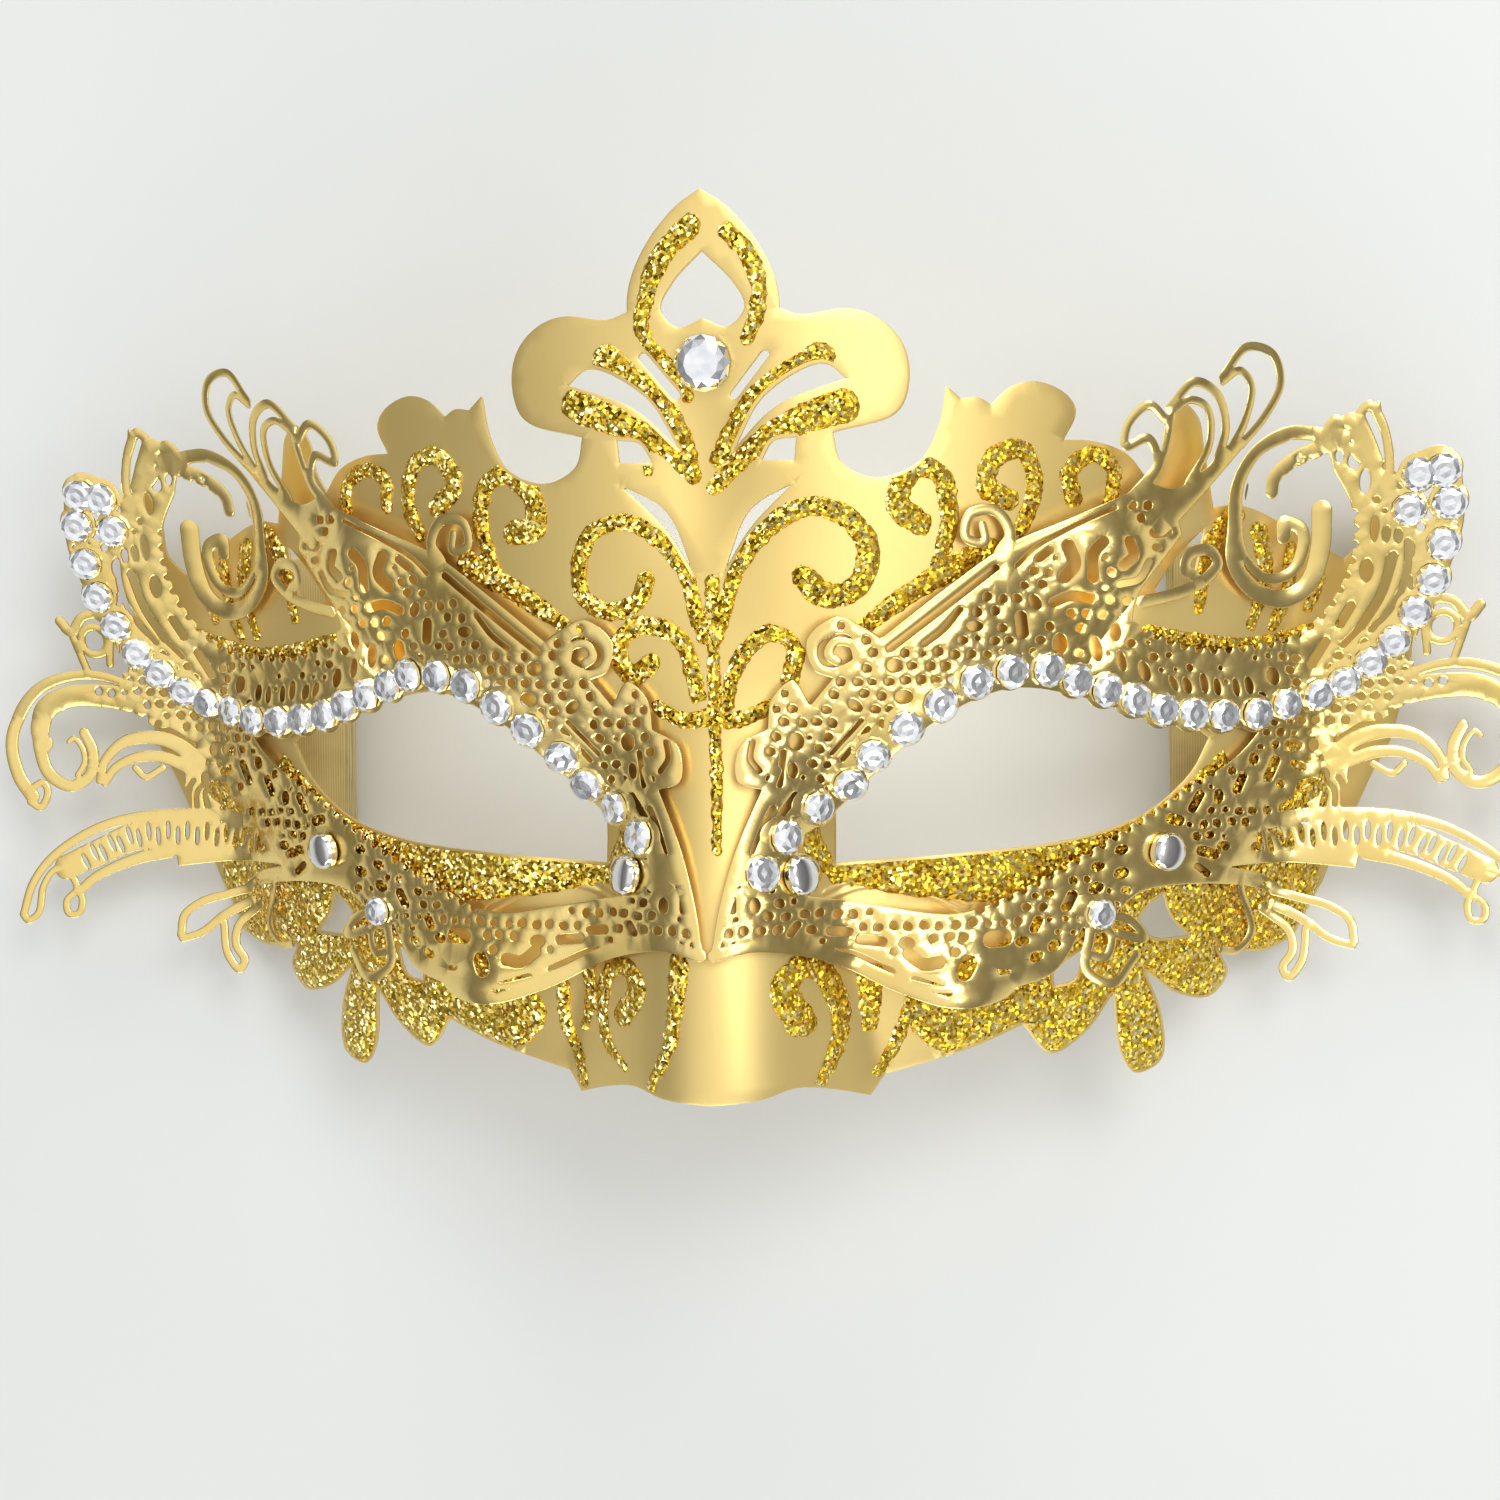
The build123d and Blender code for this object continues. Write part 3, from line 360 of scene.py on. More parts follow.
# Glitter-glue lines on each side: start and end half width, and centre line
GLITTER_LEFT = {
    "crown": [
        (1.4, 0.8, [(1.25, 58.75), (5, 55), (6.75, 50.5), (7.25, 47.5), (6, 44.75)]),
        (0.8, 0.9, [(6, 44.75), (3.75, 42.25), (2.25, 39.5)]),
        (1.9, 0.9, [(11.5, 43.75), (7, 40), (3.75, 36.5), (1.75, 31.5)]),
        (2.0, 0.9, [(15.5, 38.75), (9.5, 36), (5, 33.5), (1.5, 30)]),
        (0.7, 0.6, [(7.25, 33.5), (7, 30.75)]),
    ],
    "brow": [
        (0.9, 1.1, [(0.5, 11), (1.75, 14.5), (2.75, 18.5), (5.75, 22.5), (10, 24.75), (14.25, 23.5),
            (16, 19.25), (15.25, 15.75), (12, 14.25), (8.5, 15.5), (7.5, 17.75)]),
        (1.0, 1.2, [(1.5, 4), (3.5, 10.75), (8.5, 12.5), (11.5, 9.5), (9.5, 6.5), (7.25, 8)]),
        (1.1, 0.8, [(0, 1.5), (3.25, 1), (6.5, 2.75)]),
        (0.9, 1.5, [(27.25, 19.5), (29, 25.75), (27.75, 30.25), (25, 31), (22, 28.5), (21.5, 24.5),
            (24.25, 24)]),
        (0.9, 1.3, [(37.75, 24.5), (39.5, 28.5), (38.25, 33.25), (35, 34), (32.5, 30.5), (35, 27.75)]),
        (0.9, 0.9, [(49.25, 28), (49, 31.5), (46, 33.25), (43, 31.75), (42.75, 28.5)]),
        (1.6, 0.9, [(31, 20.75), (22.5, 15.75), (16, 11)]),
    ],
    "temple": [
        (1.5, 0.7, [(64, 27), (60.5, 22), (59.5, 15)]),
        (1.2, 0.7, [(67.5, 25), (68.5, 19), (66.5, 13)]),
        (1.0, 0.7, [(72, 23), (71.5, 17.5), (69.5, 13)]),
        (1.0, 0.8, [(76, 19.5), (74.5, 15.5)]),
        (1.0, 0.9, [(78, 13.5), (66, 10.5), (53, 12)]),
    ],
    "cheek": [
        (1.0, 1.0, [(57, -33), (60.5, -32.75)]),
        (1.2, 1.2, [(52.25, -34.5), (52.5, -42.25)]),
        (1.2, 1.2, [(45, -36.25), (41, -38.75)]),
    ],
    "nose": [
        (1.3, 0.6, [(3.75, -28), (4, -32.25), (4.75, -37), (7.5, -43)]),
        (1.4, 0.6, [(11.5, -34.75), (9.5, -31.75), (11, -29), (13.5, -29.75), (14.75, -33.5),
            (14, -38.5), (11.5, -41)]),
        (1.0, 0.6, [(16.75, -29.5), (16.5, -33.5), (17.5, -37)]),
        (0.9, 0.7, [(20.25, -32), (20.25, -36.5), (18.75, -40.25), (17.75, -44.25)]),
    ],
}
GLITTER_RIGHT = {
    "crown": [
        (1.1, 0.9, [(3.25, 58), (5.5, 55.5), (6.75, 52), (6.5, 49), (5.25, 46)]),
        (1.8, 0.9, [(13.75, 43.5), (8, 40.25), (4.25, 37), (1.25, 32)]),
        (2.0, 0.9, [(16.25, 38), (10, 35.75), (4.75, 32.5), (0.75, 28.75)]),
    ],
    "brow": [
        (0.9, 1.5, [(0.75, 11), (2, 14.75), (3.5, 19), (7, 23.5), (11.75, 26.25), (16.25, 25.25),
            (19, 21.5), (17.25, 16.5), (13.25, 16), (11.5, 18)]),
        (0.9, 1.1, [(2, 3), (3.5, 8), (7.25, 11.5), (10.25, 9.5), (9.5, 6)]),
        (1.1, 0.8, [(0.5, 1.5), (3.25, 1), (7, 2.75)]),
        (0.9, 1.5, [(27, 19), (28.5, 25), (27.25, 30.5), (24, 30.5), (22.5, 26.5), (25, 24.5)]),
        (0.9, 1.3, [(37, 24), (38.75, 29), (37.25, 33.5), (34, 32.5), (33, 29), (35.5, 27.5)]),
        (0.9, 1.1, [(48, 28), (48.5, 31.75), (45.75, 33.5), (43, 31), (43.5, 28)]),
        (1.6, 0.9, [(33, 21.5), (25, 17), (17.5, 11.5)]),
    ],
    "temple": GLITTER_LEFT["temple"],
    "cheek": GLITTER_LEFT["cheek"],
    "nose": [
        (1.8, 0.7, [(10.5, -35.25), (8.75, -31.25), (10.5, -28.75), (13.25, -30), (15, -36.5),
            (12.75, -43)]),
        (1.7, 0.9, [(18.5, -30.5), (18.25, -36.5)]),
        (0.9, 0.7, [(23.5, -33.5), (22, -37.5), (19.25, -42.5)]),
    ],
}
STEM = (0.9, 0.6, [(0.4, 17.5), (0.5, 6), (0.75, -4), (0.9, -14.5)])
# Areas of the cheeks that are coated with glitter all over
COATED = [
    [[(63, -3), (56, -9), (50, -11.5), (43, -13.5), (28.5, -15), (14.25, -16), (12, -10)],
     [(12, -10), (10.5, -14), (14, -19)],
     [(14, -19), (30, -21.5), (44, -21), (54, -19), (62, -16.5)],
     [(62, -16.5), (66, -8), (63, -3)]],
    [[(38, -24), (52, -19), (75, -20)],
     [(75, -20), (78, -50)],
     [(78, -50), (38, -50)],
     [(38, -50), (38, -24)]],
    [[(40, -24), (24, -33), (23, -37), (30, -42), (40, -42)],
     [(40, -42), (40, -24)]],
    [[(73, -2), (78, -8), (77, -16), (76, -24), (66, -21), (60, -16), (64, -8), (68, -3), (73, -2)]],
]


# ---------------------------------------------------------------- pressed faces
# Hills and hollows added to a face: height, centre and reach along x and y
SHELL_HILLS = {
    "eye_corner": (-4.5, 17, -11, 7, 9),
    "socket": (-2.5, 50, 4, 15, 13),
    "forehead_crease": (-2.0, 0, 32, 6.5, 13),
}
FILIGREE_HILLS = {
    "wing_tip": (8.5, 60, 46, 13, 11),
    "brow": (3.0, 48, 21, 7, 7),
    "cheek": (6.0, 30, -34, 9, 7),
    "flower": (3.0, 48, -34, 6, 5),
}


def smooth_step(value, start, end):
    """Rises smoothly from 0 at start to 1 at end."""
    s = np.clip((value - start) / (end - start), 0.0, 1.0)
    return s * s * (3 - 2 * s)


def hill(x, y, centre_x, centre_y, reach_x, reach_y):
    """A round hill of height 1 that fades out over its reach."""
    return np.exp(-((x - centre_x) / reach_x) ** 2 - ((y - centre_y) / reach_y) ** 2)


def shell_height(x, y):
    """Inner face of the pressed shell: a hooped face with nose, sockets and temples."""
    x = np.abs(np.asarray(x, float))
    y = np.asarray(y, float)
    hoop = np.hypot(FACE_RADIUS, 1.05 * x) - FACE_RADIUS
    z = CROWN_HEIGHT + CROWN_SLOPE * y - CROWN_BEND * y * y - hoop
    nose_height = NOSE_HEIGHT * smooth_step(-y, -14, 52)
    nose_half_width = np.minimum(11 + 0.21 * np.maximum(0, -y), 20.5)
    z = z + nose_height * np.maximum(0, 1 - (x / nose_half_width) ** 2) ** 1.5
    for height, *place in SHELL_HILLS.values():
        z = z + height * hill(x, y, *place)
    z = z + 6.0 * smooth_step(y, 16, 38) * smooth_step(x, 64, 84)
    z = z - 1.5 * smooth_step(-y, 0, 24) * smooth_step(x, 58, 74)
    return z + 3.3 * smooth_step(x, 76, 90)


def filigree_height(x, y):
    """Lower face of the filigree: it follows the shell, then flares out as a wing."""
    x = np.abs(np.asarray(x, float))
    y = np.asarray(y, float)
    blend = 3.0
    on_shell = shell_height(x, y) + FILIGREE_GAP
    wing = WING_HEIGHT + WING_SLOPE * np.maximum(0.0, y - 2)
    share = np.clip(0.5 + 0.5 * (wing - on_shell) / blend, 0.0, 1.0)
    z = on_shell * (1 - share) + wing * share + blend * share * (1 - share)
    for height, *place in FILIGREE_HILLS.values():
        z = z + height * hill(x, y, *place)
    return z


def surface_normal(height, x, y):
    """The upward normal of a face, from its height a little to each side."""
    reach = 1.5
    slope_x = (height(x + reach, y) - height(x - reach, y)) / (2 * reach)
    slope_y = (height(x, y + reach) - height(x, y - reach)) / (2 * reach)
    return Vector((-float(slope_x), -float(slope_y), 1.0)).normalized()


# ---------------------------------------------------------------- flat drawings
def smooth_points(points, per_span=8):
    """A smooth curve through the points, as short straight steps."""
    p = np.array(points, float)
    if len(p) == 2:
        return p
    p = np.vstack([2 * p[0] - p[1], p, 2 * p[-1] - p[-2]])
    out = []
    for i in range(1, len(p) - 2):
        spans = np.linalg.norm(np.diff(p[i - 1:i + 3], axis=0), axis=1)
        knots = np.concatenate([[0], np.cumsum(np.maximum(1e-6, spans) ** 0.5)])
        t = np.linspace(knots[1], knots[2], per_span, endpoint=False)[:, None]

        def blend(one, other, start, end):
            return ((knots[end] - t) * one + (t - knots[start]) * other) / (knots[end] - knots[start])

        a1 = blend(p[i - 1], p[i], 0, 1)
        a2 = blend(p[i], p[i + 1], 1, 2)
        a3 = blend(p[i + 1], p[i + 2], 2, 3)
        out.append(blend(blend(a1, a2, 0, 2), blend(a2, a3, 1, 3), 1, 2))
    out.append(p[-2][None])
    return np.vstack(out)


def closed_points(runs):
    return np.vstack([smooth_points(run)[:-1] for run in runs])


def mirrored(points):
    return [(-x, y) for x, y in points]


def mirrored_runs(runs):
    return [mirrored(reversed(points)) for points in reversed(runs)]


def both_sides(runs):
    """The whole outline, from the half outline on the right."""
    return closed_points(runs + mirrored_runs(runs))


def to_segment(x, y, a, b):
    """The distance of places from the segment a to b, and how far along it they are, 0 to 1."""
    d = b - a
    t = np.clip(((x - a[0]) * d[0] + (y - a[1]) * d[1]) / (d @ d), 0, 1)
    return np.hypot(x - a[0] - t * d[0], y - a[1] - t * d[1]), t


class Drawing:
    """A flat drawing in mm: its field is negative inside the material and positive outside."""

    def __init__(self, low, high, step):
        self.step = step
        self.low = np.array(low, float)
        self.xs = np.arange(low[0], high[0] + step, step)
        self.ys = np.arange(low[1], high[1] + step, step)
        self.field = np.full((len(self.ys), len(self.xs)), REACH)

    def window(self, low, high):
        """The part of the grid inside a box, and its x and y."""
        i0, j0 = np.maximum(0, np.floor((np.array(low) - self.low) / self.step).astype(int))
        i1, j1 = np.ceil((np.array(high) - self.low) / self.step).astype(int) + 1
        part = (slice(j0, max(j0, j1)), slice(i0, max(i0, i1)))
        return part, *np.meshgrid(self.xs[part[1]], self.ys[part[0]])

    def merge(self, part, distance, cut):
        old = self.field[part]
        self.field[part] = np.maximum(old, -distance) if cut else np.minimum(old, distance)

    def line(self, points, start, end=None, cut=False):
        """A strand of half width start to end along a smooth line, with round ends."""
        end = start if end is None else end
        p = smooth_points(points)
        lengths = np.linalg.norm(np.diff(p, axis=0), axis=1)
        place = np.concatenate([[0], np.cumsum(lengths)]) / lengths.sum()
        half = start + (end - start) * place
        for a, b, ra, rb in zip(p[:-1], p[1:], half[:-1], half[1:]):
            margin = max(ra, rb) + REACH / 2
            part, x, y = self.window(np.minimum(a, b) - margin, np.maximum(a, b) + margin)
            if x.size == 0:
                continue
            distance, t = to_segment(x, y, a, b)
            self.merge(part, distance - (ra + (rb - ra) * t), cut)

    def ellipse(self, centre, half_x, half_y, tilt=0.0, cut=False):
        margin = max(half_x, half_y) + REACH / 2
        part, x, y = self.window(np.array(centre) - margin, np.array(centre) + margin)
        c, s = math.cos(math.radians(tilt)), math.sin(math.radians(tilt))
        u = ((x - centre[0]) * c + (y - centre[1]) * s) / half_x
        v = (-(x - centre[0]) * s + (y - centre[1]) * c) / half_y
        self.merge(part, (np.hypot(u, v) - 1) * min(half_x, half_y), cut)

    def disc(self, centre, radius, cut=False):
        self.ellipse(centre, radius, radius, cut=cut)

    def region(self, points, cut=False):
        """A closed outline, filled or cut out."""
        distance = np.full(self.field.shape, REACH)
        inside = np.zeros(self.field.shape, bool)
        for a, b in zip(points, np.roll(points, -1, axis=0)):
            part, x, y = self.window(np.minimum(a, b) - REACH, np.maximum(a, b) + REACH)
            if x.size and np.any(a != b):
                distance[part] = np.minimum(distance[part], to_segment(x, y, a, b)[0])
            if a[1] != b[1]:
                rows = (self.ys > min(a[1], b[1])) & (self.ys <= max(a[1], b[1]))
                crossing = a[0] + (self.ys[rows] - a[1]) / (b[1] - a[1]) * (b[0] - a[0])
                inside[rows] ^= self.xs[None, :] > crossing[:, None]
        signed = np.where(inside, -distance, distance)
        self.merge((slice(None), slice(None)), signed, cut)

    def sample(self, points):
        """The field at points, between grid values."""
        g = (points - self.low) / self.step
        i = np.clip(g[:, 0].astype(int), 0, len(self.xs) - 2)
        j = np.clip(g[:, 1].astype(int), 0, len(self.ys) - 2)
        u, v = g[:, 0] - i, g[:, 1] - j
        f = self.field
        low = f[j, i] * (1 - u) + f[j, i + 1] * u
        high = f[j + 1, i] * (1 - u) + f[j + 1, i + 1] * u
        return low * (1 - v) + high * v

    def contour(self, level):
        """The line where the field crosses a level: points, and pairs of them."""
        g = self.field - level
        g = np.where(np.abs(g) < 1e-4, 1e-4, g)
        ny, nx = g.shape
        inside = g < 0
        code = (inside[:-1, :-1] + 2 * inside[:-1, 1:] + 4 * inside[1:, 1:] + 8 * inside[1:, :-1])
        sides = {1: ["LB"], 2: ["BR"], 3: ["LR"], 4: ["RT"], 5: ["LB", "RT"], 6: ["BT"], 7: ["LT"], 8: ["LT"],
                 9: ["BT"], 10: ["BR", "LT"], 11: ["RT"], 12: ["LR"], 13: ["BR"], 14: ["LB"]}
        across = ny * nx
        pairs = []
        for value, lines in sides.items():
            j, i = np.nonzero(code == value)
            base = j * nx + i
            ids = {"B": base, "T": base + nx, "L": base + across, "R": base + 1 + across}
            for one, two in lines:
                pairs.append(np.stack([ids[one], ids[two]], 1))
        pairs = np.vstack(pairs)
        keys, pairs = np.unique(pairs, return_inverse=True)
        pairs = pairs.reshape(-1, 2)
        upright = keys >= across
        cell = np.where(upright, keys - across, keys)
        j, i = cell // nx, cell % nx
        first = g[j, i]
        second = np.where(upright, g[np.minimum(j + 1, ny - 1), i], g[j, np.minimum(i + 1, nx - 1)])
        t = np.clip(first / (first - second), 0.06, 0.94)
        x = self.xs[i] + np.where(upright, 0, t) * self.step
        y = self.ys[j] + np.where(upright, t, 0) * self.step
        return np.stack([x, y], 1), pairs

    def mesh(self, bevel, spacing, extra=None):
        """Triangles that fill the drawing, with a second ring just inside every edge."""
        edge, edge_pairs = self.contour(0.0)
        ring, ring_pairs = self.contour(-bevel)
        rows = np.arange(self.ys[0], self.ys[-1], spacing * 0.87)
        lattice = [] if extra is None else [extra]
        for k, y in enumerate(rows):
            row = np.arange(self.xs[0] + (k % 2) * spacing / 2, self.xs[-1], spacing)
            lattice.insert(k, np.stack([row, np.full(len(row), y)], 1))
        inner = np.vstack(lattice)
        inner = inner[self.sample(inner) < -(bevel + 0.45 * spacing)]
        points = np.vstack([edge, ring, inner])
        pairs = np.vstack([edge_pairs, ring_pairs + len(edge)])
        result = delaunay_2d_cdt([Vector(p) for p in points], pairs.tolist(), [], 0, 1e-5)
        flat = np.array([tuple(p) for p in result[0]])
        faces = np.array(result[2])
        middle = flat[faces].mean(axis=1)
        a, b, c = (flat[faces[:, k]] for k in range(3))
        area = (b[:, 0] - a[:, 0]) * (c[:, 1] - a[:, 1]) - (b[:, 1] - a[:, 1]) * (c[:, 0] - a[:, 0])
        kept = (self.sample(middle) < 0) & (np.abs(area) > 1e-7)
        faces, area = faces[kept], area[kept]
        faces[area < 0] = faces[area < 0][:, ::-1]
        return flat, faces


# ---------------------------------------------------------------- mesh building
def sheet_solid(flat, faces, low_z, high_z):
    """Closes a flat mesh into a solid between two heights given at its points."""
    n = len(flat)
    points = np.vstack([np.column_stack([flat, high_z]), np.column_stack([flat, low_z])])
    sides = np.vstack([faces[:, [0, 1]], faces[:, [1, 2]], faces[:, [2, 0]]])
    keys = np.sort(sides, axis=1)
    keys = keys[:, 0] * n + keys[:, 1]
    _, first, count = np.unique(keys, return_index=True, return_counts=True)
    rim = sides[first[count == 1]]
    walls = np.column_stack([rim[:, 1], rim[:, 0], rim[:, 0] + n, rim[:, 1] + n])
    return points, [faces.tolist(), (faces[:, ::-1] + n).tolist(), walls.tolist()]


def make_object(name, points, face_groups, side=1, smooth=True):
    """A mesh object from points in mm about the design origin; side -1 mirrors it."""
    points = np.array(points, float)
    points[:, 1] -= ORIGIN_Y
    points[:, 0] *= side
    faces = [face for group in face_groups for face in group]
    if side < 0:
        faces = [face[::-1] for face in faces]
    mesh = bpy.data.meshes.new(name)
    mesh.from_pydata((points * MM).tolist(), [], faces)
    used = bmesh.new()
    used.from_mesh(mesh)
    bmesh.ops.delete(used, geom=[v for v in used.verts if not v.link_faces], context="VERTS")
    used.to_mesh(mesh)
    used.free()
    mesh.polygons.foreach_set("use_smooth", [smooth] * len(mesh.polygons))
    if smooth:
        mesh.set_sharp_from_angle(angle=math.radians(SHARP_EDGE_DEGREES))
    mesh.update()
    obj = bpy.data.objects.new(name, mesh)
    bpy.context.scene.collection.objects.link(obj)
    return obj


def place_piece(obj, material, slot_name, *nodes):
    """Gives a piece its material and says which CAD nodes it stands for; slot_name is not used."""
    obj.data.materials.clear()
    obj.data.materials.append(material)
    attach(obj, "root")
    if nodes:
        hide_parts(*nodes)
    return obj


def grain(x, y, size, seed):
    """Smooth random values between -1 and 1 that change over a distance size, in mm."""
    cells = 64
    table = np.random.default_rng(seed).uniform(-1, 1, (cells, cells))
    u, v = np.asarray(x) / size, np.asarray(y) / size
    i, j = np.floor(u).astype(int), np.floor(v).astype(int)
    s, t = u - i, v - j
    s, t = s * s * (3 - 2 * s), t * t * (3 - 2 * t)

    def corner(a, b):
        return table[a % cells, b % cells]

    low = corner(i, j) * (1 - s) + corner(i + 1, j) * s
    high = corner(i, j + 1) * (1 - s) + corner(i + 1, j + 1) * s
    return low * (1 - t) + high * t


# ---------------------------------------------------------------- materials
def new_material(name):
    material = bpy.data.materials.new(name)
    material.use_nodes = True
    tree = material.node_tree
    return material, tree, tree.nodes["Principled BSDF"]


def new_metal(name):
    material, tree, shader = new_material(name)
    shader.inputs["Metallic"].default_value = 1.0
    return material, tree, shader


def add_node(tree, kind, **settings):
    node = tree.nodes.new(kind)
    for key, value in settings.items():
        if key in node.inputs:
            node.inputs[key].default_value = value
        else:
            setattr(node, key, value)
    return node


def ramp_node(tree, source, stops):
    node = tree.nodes.new("ShaderNodeValToRGB")
    while len(node.color_ramp.elements) < len(stops):
        node.color_ramp.elements.new(0.5)
    for element, (position, colour) in zip(node.color_ramp.elements, stops):
        element.position = position
        element.color = (*colour, 1)
    tree.links.new(source, node.inputs["Fac"])
    return node


def object_place(tree):
    return tree.nodes.new("ShaderNodeTexCoord").outputs["Object"]


def noise_node(tree, place, size_mm, detail=3.0):
    node = add_node(tree, "ShaderNodeTexNoise", Scale=1000.0 / size_mm, Detail=detail)
    tree.links.new(place, node.inputs["Vector"])
    return node


def colour_from(tree, shader, source, stops):
    ramp = ramp_node(tree, source, stops)
    tree.links.new(ramp.outputs["Color"], shader.inputs["Base Color"])


def roughness_from(tree, shader, source, low, high):
    node = add_node(tree, "ShaderNodeMapRange", **{"To Min": low, "To Max": high})
    tree.links.new(source, node.inputs["Value"])
    tree.links.new(node.outputs["Result"], shader.inputs["Roughness"])


def bump_node(tree, shader, height, strength, distance_mm):
    node = add_node(tree, "ShaderNodeBump", Strength=strength, Distance=distance_mm * MM)
    tree.links.new(height, node.inputs["Height"])
    tree.links.new(node.outputs["Normal"], shader.inputs["Normal"])
    return node


def satin_gold():
    """Fine metallic paint on moulded plastic: soft highlights and a faint sandy grain."""
    material, tree, shader = new_metal("satin_gold_paint")
    place = object_place(tree)
    clouds = noise_node(tree, place, 28)
    colour_from(tree, shader, clouds.outputs["Fac"], [(0.3, (0.78, 0.585, 0.21)), (0.7, (0.88, 0.68, 0.27))])
    fine = noise_node(tree, place, 0.22, 2.0)
    roughness_from(tree, shader, clouds.outputs["Fac"], 0.42, 0.50)
    bump_node(tree, shader, fine.outputs["Fac"], 0.25, 0.02)
    return material


def polished_gold():
    """Thin plated metal: bright, slightly rolled, with faint wear in the shine."""
    material, tree, shader = new_metal("polished_gold_plate")
    place = object_place(tree)
    clouds = noise_node(tree, place, 14)
    colour_from(tree, shader, clouds.outputs["Fac"], [(0.3, (0.88, 0.65, 0.21)), (0.7, (0.97, 0.75, 0.30))])
    fine = noise_node(tree, place, 1.6, 4.0)
    roughness_from(tree, shader, fine.outputs["Fac"], 0.14, 0.28)
    waves = noise_node(tree, place, 7.0, 1.0)
    bump_node(tree, shader, waves.outputs["Fac"], 0.2, 0.2)
    return material


def glitter_flakes():
    """Gold flakes at random tilts: some flash white, most stay deep yellow or brown."""
    material, tree, shader = new_metal("gold_glitter")
    place = object_place(tree)
    cells = add_node(tree, "ShaderNodeTexVoronoi", Scale=1000.0 / 0.38, Randomness=1.0)
    tree.links.new(place, cells.inputs["Vector"])
    split = tree.nodes.new("ShaderNodeSeparateColor")
    tree.links.new(cells.outputs["Color"], split.inputs["Color"])
    colour_from(tree, shader, split.outputs["Red"], [
        (0.0, (0.34, 0.19, 0.01)),
        (0.3, (0.72, 0.46, 0.03)),
        (0.7, (0.94, 0.67, 0.08)),
        (0.93, (1.0, 0.90, 0.45)),
    ])
    roughness_from(tree, shader, split.outputs["Green"], 0.12, 0.38)
    normal = tree.nodes.new("ShaderNodeNewGeometry").outputs["Normal"]
    tilt = add_node(tree, "ShaderNodeVectorMath", operation="SUBTRACT")
    tilt.inputs[1].default_value = (0.5, 0.5, 0.5)
    tree.links.new(cells.outputs["Color"], tilt.inputs[0])
    scaled = add_node(tree, "ShaderNodeVectorMath", operation="SCALE")
    scaled.inputs["Scale"].default_value = 1.5
    tree.links.new(tilt.outputs["Vector"], scaled.inputs[0])
    total = add_node(tree, "ShaderNodeVectorMath", operation="ADD")
    tree.links.new(scaled.outputs["Vector"], total.inputs[0])
    tree.links.new(normal, total.inputs[1])
    unit = add_node(tree, "ShaderNodeVectorMath", operation="NORMALIZE")
    tree.links.new(total.outputs["Vector"], unit.inputs[0])
    tree.links.new(unit.outputs["Vector"], shader.inputs["Normal"])
    return material


def foil_crystal():
    """Clear crystal over silver foil, as bright facets with a clear gloss over them."""
    material, tree, shader = new_material("foiled_crystal")
    shader.inputs["Metallic"].default_value = 0.9
    shader.inputs["Coat Weight"].default_value = 1.0
    shader.inputs["Coat Roughness"].default_value = 0.02
    place = object_place(tree)
    clouds = noise_node(tree, place, 1.4, 1.0)
    colour_from(tree, shader, clouds.outputs["Fac"], [(0.35, (0.80, 0.83, 0.87)), (0.65, (0.97, 0.98, 1.0))])
    roughness_from(tree, shader, clouds.outputs["Fac"], 0.03, 0.10)
    return material


def bare_metal(name, marks_mm, dark, light, smoothest, roughest):
    """Unpainted metal with fine handling marks."""
    material, tree, shader = new_metal(name)
    marks = noise_node(tree, object_place(tree), marks_mm, 5.0)
    colour_from(tree, shader, marks.outputs["Fac"], [(0.3, dark), (0.7, light)])
    roughness_from(tree, shader, marks.outputs["Fac"], smoothest, roughest)
    return material


def chrome():
    return bare_metal("rivet_chrome", 0.8, (0.74, 0.73, 0.71), (0.82, 0.81, 0.79), 0.04, 0.13)


def dull_steel():
    return bare_metal("rivet_steel", 0.5, (0.45, 0.44, 0.42), (0.60, 0.59, 0.57), 0.28, 0.42)


def satin_ribbon():
    """Old-gold satin: fine warp threads along the ribbon, with a soft sheen."""
    material, tree, shader = new_material("gold_satin_ribbon")
    place = object_place(tree)
    threads = add_node(tree, "ShaderNodeTexWave", wave_type="BANDS", bands_direction="X", Scale=900.0)
    tree.links.new(place, threads.inputs["Vector"])
    clouds = noise_node(tree, place, 6)
    mix = add_node(tree, "ShaderNodeMath", operation="MULTIPLY_ADD")
    mix.inputs[1].default_value = 0.3
    tree.links.new(threads.outputs["Fac"], mix.inputs[0])
    tree.links.new(clouds.outputs["Fac"], mix.inputs[2])
    colour_from(tree, shader, mix.outputs["Value"], [(0.35, (0.40, 0.31, 0.12)), (0.8, (0.60, 0.49, 0.22))])
    roughness_from(tree, shader, clouds.outputs["Fac"], 0.35, 0.5)
    shader.inputs["Sheen Weight"].default_value = 0.5
    bump_node(tree, shader, threads.outputs["Fac"], 0.3, 0.03)
    return material


def dried_glue():
    """Cloudy hot-melt glue."""
    material, tree, shader = new_material("dried_glue")
    place = object_place(tree)
    clouds = noise_node(tree, place, 2.0, 4.0)
    colour_from(tree, shader, clouds.outputs["Fac"], [(0.3, (0.62, 0.56, 0.42)), (0.7, (0.80, 0.75, 0.62))])
    roughness_from(tree, shader, clouds.outputs["Fac"], 0.25, 0.45)
    shader.inputs["Subsurface Weight"].default_value = 0.2
    bump_node(tree, shader, clouds.outputs["Fac"], 0.4, 0.3)
    return material


